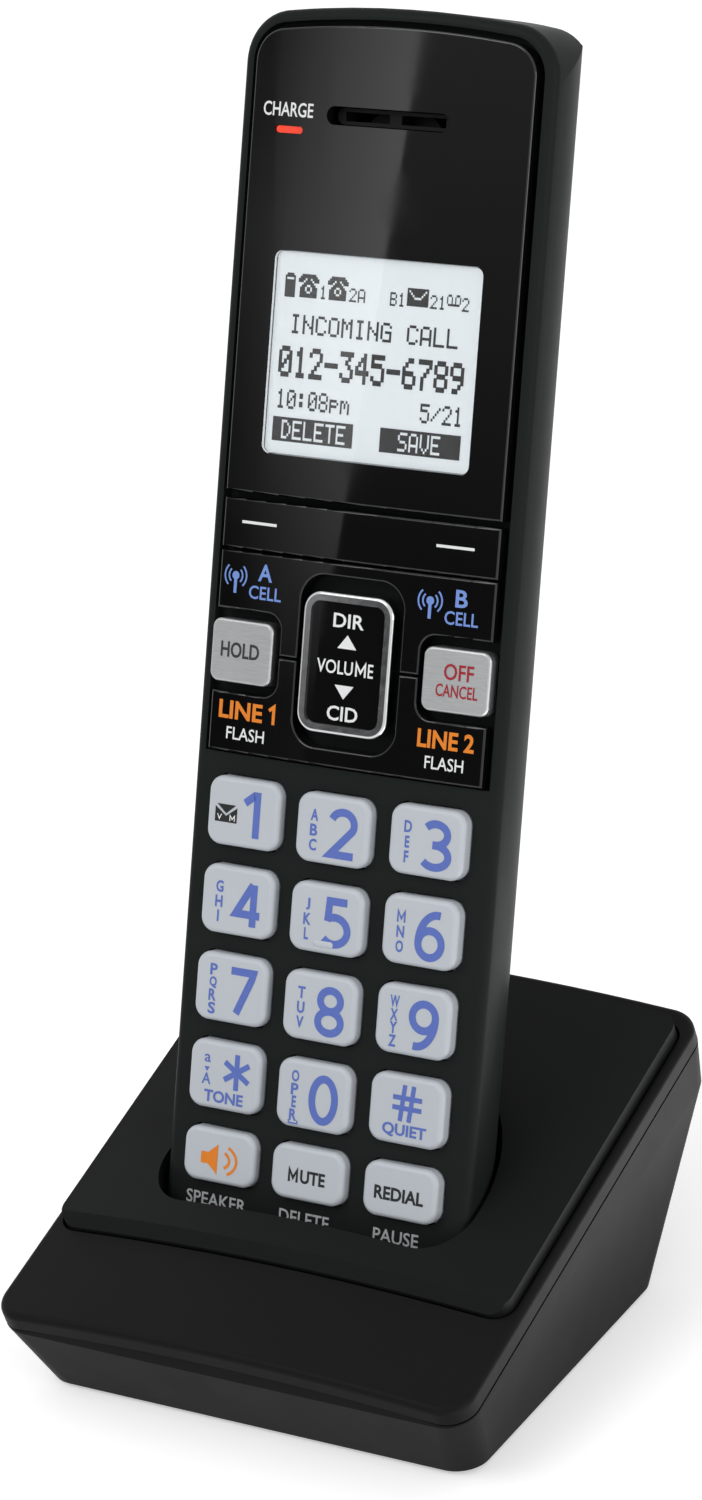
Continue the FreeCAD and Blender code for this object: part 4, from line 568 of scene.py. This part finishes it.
# Black ABS as it leaves an unpolished mould: it swallows the light in the slots and holes that it fills.
matte_black = grained("abs_black_unpolished", "#0C0C0D", "#101011", 0.55, 0.4, 0.004, IOR=1.5,
                      Specular_IOR_Level=0.2)
dress(matte_black, "earpiece_grille", "power_jack", "microphone")

# Red acrylic, frosted with specks 0.4 mm wide, so that its lamp lights it evenly.
red_pipe, tree, shader = finish("acrylic_red_lit", Base_Color=linear("#E63A22"), IOR=1.49, Roughness=0.25,
                                Emission_Color=linear("#F0442A"), Emission_Strength=0.35)
place = add(tree, "ShaderNodeTexCoord").outputs["Object"]
frost = add(tree, "ShaderNodeTexNoise", {"Vector": place, "Scale": 1 / 0.0004, "Detail": 2.0})
bump = add(tree, "ShaderNodeBump", {"Height": frost.outputs["Fac"], "Strength": 0.5, "Distance": 0.00002})
tree.links.new(bump.outputs["Normal"], shader.inputs["Normal"])
dress(red_pipe, "charge_light_pipe")


# -------------------------------------------------------------- cradle
# The base and its cover are satin black ABS with a fine leather-like grain; the raised platform that takes the
# handset is smoother. They are screwed together from below.

# Grained black ABS breaks every highlight into a faint grey; the platform's finer mould keeps it darker.
cradle_abs = grained("abs_cradle_fine_grain", "#151515", "#181818", 0.46, 0.45, 0.012, IOR=1.53,
                     Specular_IOR_Level=0.05)
dress(cradle_abs, "charger_base", "charger_top_cover")
platform_abs = grained("abs_platform_smooth_matte", "#131414", "#171818", 0.5, 0.35, 0.004, IOR=1.53,
                       Specular_IOR_Level=0.07)
dress(platform_abs, "charger_platform")


# -------------------------------------------------------------- rubber parts
# The keypad mat is moulded silicone; the cradle's feet are cut from black rubber sheet. Both are dull and soft.

rubber = grained("silicone_rubber_moulded", "#17181A", "#1E1F21", 0.72, 0.5, 0.01, IOR=1.43,
                 Specular_IOR_Level=0.25)
dress(rubber, "keypad_mat", "charger_feet")


# -------------------------------------------------------------- circuit boards
# Glass-fibre board under green solder mask. The weave of the glass shows through as a fine check.

board, tree, shader = finish("glass_fibre_board_solder_mask", IOR=1.55, Roughness=0.28)
place = add(tree, "ShaderNodeTexCoord").outputs["Object"]
# The yarns of the glass cloth lie 0.5 mm apart.
weave = add(tree, "ShaderNodeTexChecker", {"Vector": place, "Scale": 1 / 0.0005, "Color1": linear("#1C5A35"),
                                           "Color2": linear("#1F6139")})
tree.links.new(weave.outputs["Color"], shader.inputs["Base Color"])
dress(board, "main_board", "charger_board")


# -------------------------------------------------------------- capsules, antenna and screws
# Pressed and plated steel: the loudspeaker's can, the folded antenna strip, the screws and the ballast plate. The
# receiver's can is blackened, because it shows behind the grille.

def plated(name, colour, colour_2, rough, pattern_mm):
    """A plated metal whose colour and shine vary in patches."""
    shine_range = 0.08
    material, tree, shader = finish(name, Metallic=1.0)
    place = add(tree, "ShaderNodeTexCoord").outputs["Object"]
    patch = add(tree, "ShaderNodeTexNoise", {"Vector": place, "Scale": 1000 / pattern_mm, "Detail": 4.0})
    tone = add(tree, "ShaderNodeMix", {"Factor": patch.outputs["Fac"], "A": linear(colour),
                                       "B": linear(colour_2)}, data_type="RGBA")
    tree.links.new(tone.outputs["Result"], shader.inputs["Base Color"])
    dull = add(tree, "ShaderNodeMapRange", {"Value": patch.outputs["Fac"], "To Min": rough - shine_range,
                                            "To Max": rough + shine_range})
    tree.links.new(dull.outputs["Result"], shader.inputs["Roughness"])
    return material


dress(plated("steel_nickel_plated", "#A9A7A0", "#BDBBB4", 0.3, 2.0), "loudspeaker", "antenna")
dress(plated("steel_black_oxide", "#161617", "#202021", 0.45, 2.0), "earpiece_receiver")
dress(plated("steel_zinc_passivated", "#8F9193", "#A5A7A9", 0.36, 1.2), "handset_screws", "charger_screws",
      "ballast_plate")


# -------------------------------------------------------------- battery and contacts
# Two cells in one shrunk blue film, pressed against gold-plated spring contacts. The charging contacts are the
# same plated bronze.

# Shrunk film: a smooth blue with soft bright streaks along the cells.
wrap = grained("pvc_film_shrunk", "#1F3E86", "#24489A", 0.3, 1.5, 0.02, IOR=1.54)
dress(wrap, "battery_pack")
dress(plated("bronze_gold_plated", "#C9A45A", "#D8B56C", 0.25, 0.8), "battery_contacts", "handset_contacts",
      "charger_contacts")


# -------------------------------------------------------------- studio
# A plain pale floor, soft light from above and in front, and a white world that the camera, gloss and glass see.
# Three cards stay out of view and show only in the gloss: a graded soft panel on the left, which ends on a sharp
# leaning line, a dark card on the right, and a bright strip low on the right.

def seen_rays(tree):
    """One for a ray of the camera, a gloss or a glass, and nought for every other."""
    ray = add(tree, "ShaderNodeLightPath")
    seen = add(tree, "ShaderNodeMath", {0: ray.outputs["Is Camera Ray"], 1: ray.outputs["Is Glossy Ray"]},
               operation="MAXIMUM")
    seen = add(tree, "ShaderNodeMath", {0: seen.outputs[0], 1: ray.outputs["Is Transmission Ray"]},
               operation="MAXIMUM")
    return seen.outputs[0]


floor_glow, room_glow, white_glow = 0.42, 0.62, 1.0
floor_mesh = bpy.data.meshes.new("floor")
floor_mesh.from_pydata([(-6, -6, 0), (6, -6, 0), (6, 6, 0), (-6, 6, 0)], [], [(0, 1, 2, 3)])
floor = bpy.data.objects.new("floor", floor_mesh)
bpy.context.collection.objects.link(floor)
paper_floor, tree, shader = finish("paper_white_matte", Base_Color=linear("#F4F4F4"), Roughness=0.9,
                                   Specular_IOR_Level=0.0)
glow = add(tree, "ShaderNodeMath", {0: seen_rays(tree), 1: floor_glow}, operation="MULTIPLY")
tree.links.new(glow.outputs[0], shader.inputs["Emission Strength"])
shader.inputs["Emission Color"].default_value = (1, 1, 1, 1)
floor_mesh.materials.append(paper_floor)

world = bpy.data.worlds.new("studio")
bpy.context.scene.world = world
world.use_nodes = True
tree = world.node_tree
tree.nodes.clear()
room = add(tree, "ShaderNodeBackground", {"Color": (1, 1, 1, 1), "Strength": room_glow})
white = add(tree, "ShaderNodeBackground", {"Color": (1, 1, 1, 1), "Strength": white_glow})
both = add(tree, "ShaderNodeMixShader", {0: seen_rays(tree), 1: room.outputs[0], 2: white.outputs[0]})
add(tree, "ShaderNodeOutputWorld", {"Surface": both.outputs[0]})


def lamp(name, place, target, size, watts):
    """A square soft light that looks at a point."""
    light = bpy.data.lights.new(name, "AREA")
    light.shape, light.size, light.energy = "SQUARE", size, watts
    piece = bpy.data.objects.new(name, light)
    bpy.context.collection.objects.link(piece)
    piece.location = place
    piece.rotation_euler = (Vector(target) - Vector(place)).to_track_quat("-Z", "Y").to_euler()


lamp("key_light", (-0.4, -0.75, 1.1), (0, 0, 0.08), 0.7, 4.5)
lamp("fill_light", (1.1, -0.25, 0.4), (0, 0, 0.06), 0.5, 3.0)

# The two upright cards stand in one plane and meet on a leaning line. Distances on them are in metres.
card_front, line_foot, line_lean = -0.7, -0.501, 0.1644
card_low, card_high, card_left, card_right = 0.15, 0.56, -0.7, -0.2
line_low, line_high = (line_foot + line_lean * height for height in (card_low, card_high))


def card(name, corners, heights, glows, widths=(1.0, 1.0), rest=1.0):
    """A card that only gloss sees. From the first of two heights to the second, its glow goes from the first of
    two values to the second. Away from the leaning line the glow falls to the share rest, over a width that
    goes from one value to the other between the same heights."""
    mesh = bpy.data.meshes.new(name)
    mesh.from_pydata(corners, [], [(0, 1, 2, 3)])
    piece = bpy.data.objects.new(name, mesh)
    bpy.context.collection.objects.link(piece)
    material, tree, shader = finish(name, Base_Color=linear("#000000"), Roughness=1.0, Specular_IOR_Level=0.0,
                                    Emission_Color=(1, 1, 1, 1))
    place = add(tree, "ShaderNodeTexCoord").outputs["Object"]
    part = add(tree, "ShaderNodeSeparateXYZ", {"Vector": place})
    level, width = [add(tree, "ShaderNodeMapRange", {"Value": part.outputs["Z"], "From Min": heights[0],
                                                     "From Max": heights[1], "To Min": ends[0],
                                                     "To Max": ends[1]}) for ends in (glows, widths)]
    line = add(tree, "ShaderNodeMath", {0: part.outputs["Z"], 1: line_lean, 2: line_foot},
               operation="MULTIPLY_ADD")
    gap = add(tree, "ShaderNodeMath", {0: line.outputs[0], 1: part.outputs["X"]}, operation="SUBTRACT")
    fade = add(tree, "ShaderNodeMapRange", {"Value": gap.outputs[0], "From Min": 0.0,
                                            "From Max": width.outputs["Result"], "To Min": 1.0,
                                            "To Max": rest})
    glow = add(tree, "ShaderNodeMath", {0: level.outputs["Result"], 1: fade.outputs["Result"]},
               operation="MULTIPLY")
    tree.links.new(glow.outputs[0], shader.inputs["Emission Strength"])
    mesh.materials.append(material)
    piece.visible_camera = piece.visible_diffuse = piece.visible_shadow = False
    piece.visible_transmission = False


def upright(*sides):
    """Corners of an upright card: the foot's left and right, then the head's right and left."""
    return [(x, card_front, z) for x, z in zip(sides, (card_low, card_low, card_high, card_high))]


card("soft_panel", upright(card_left, line_low, line_high, card_left), heights=(0.25, 0.4), glows=(0.1, 1.7),
     widths=(0.13, 0.24), rest=0.08)
card("dark_card", upright(line_low, card_right, card_right, line_high), heights=(0.3, 0.475),
     glows=(0.04, 0.32))

# The strip shows as a sheen on the cradle's side.
strip_left, strip_right, strip_half, strip_level, strip_glow = 0.05, 0.2, 0.12, 0.001, 4.0
card("floor_strip", [(strip_left, -strip_half, strip_level), (strip_right, -strip_half, strip_level),
                     (strip_right, strip_half, strip_level), (strip_left, strip_half, strip_level)],
     heights=(0.0, 1.0), glows=(strip_glow, strip_glow))

# A long lens from the right and above. The view is turned a little about its own axis.
view = bpy.data.cameras.new("camera")
view.sensor_width = 36.0
view.lens = 117.63
view.clip_start, view.clip_end = 0.05, 50
camera = bpy.data.objects.new("camera", view)
bpy.context.collection.objects.link(camera)
azimuth, elevation, roll = (math.radians(angle) for angle in (33.458, 24.71, -7.009))
back = Vector((math.sin(azimuth) * math.cos(elevation), -math.cos(azimuth) * math.cos(elevation),
               math.sin(elevation)))
right = Vector((math.cos(azimuth), math.sin(azimuth), 0))
top = back.cross(right)
right, top = (math.cos(roll) * right + math.sin(roll) * top,
              math.cos(roll) * top - math.sin(roll) * right)
camera.matrix_world = Matrix((right, top, back)).transposed().to_4x4()
camera.location = (0.3451, -0.52271, 0.3732)
bpy.context.scene.camera = camera
bpy.context.scene.view_settings.view_transform = "Standard"
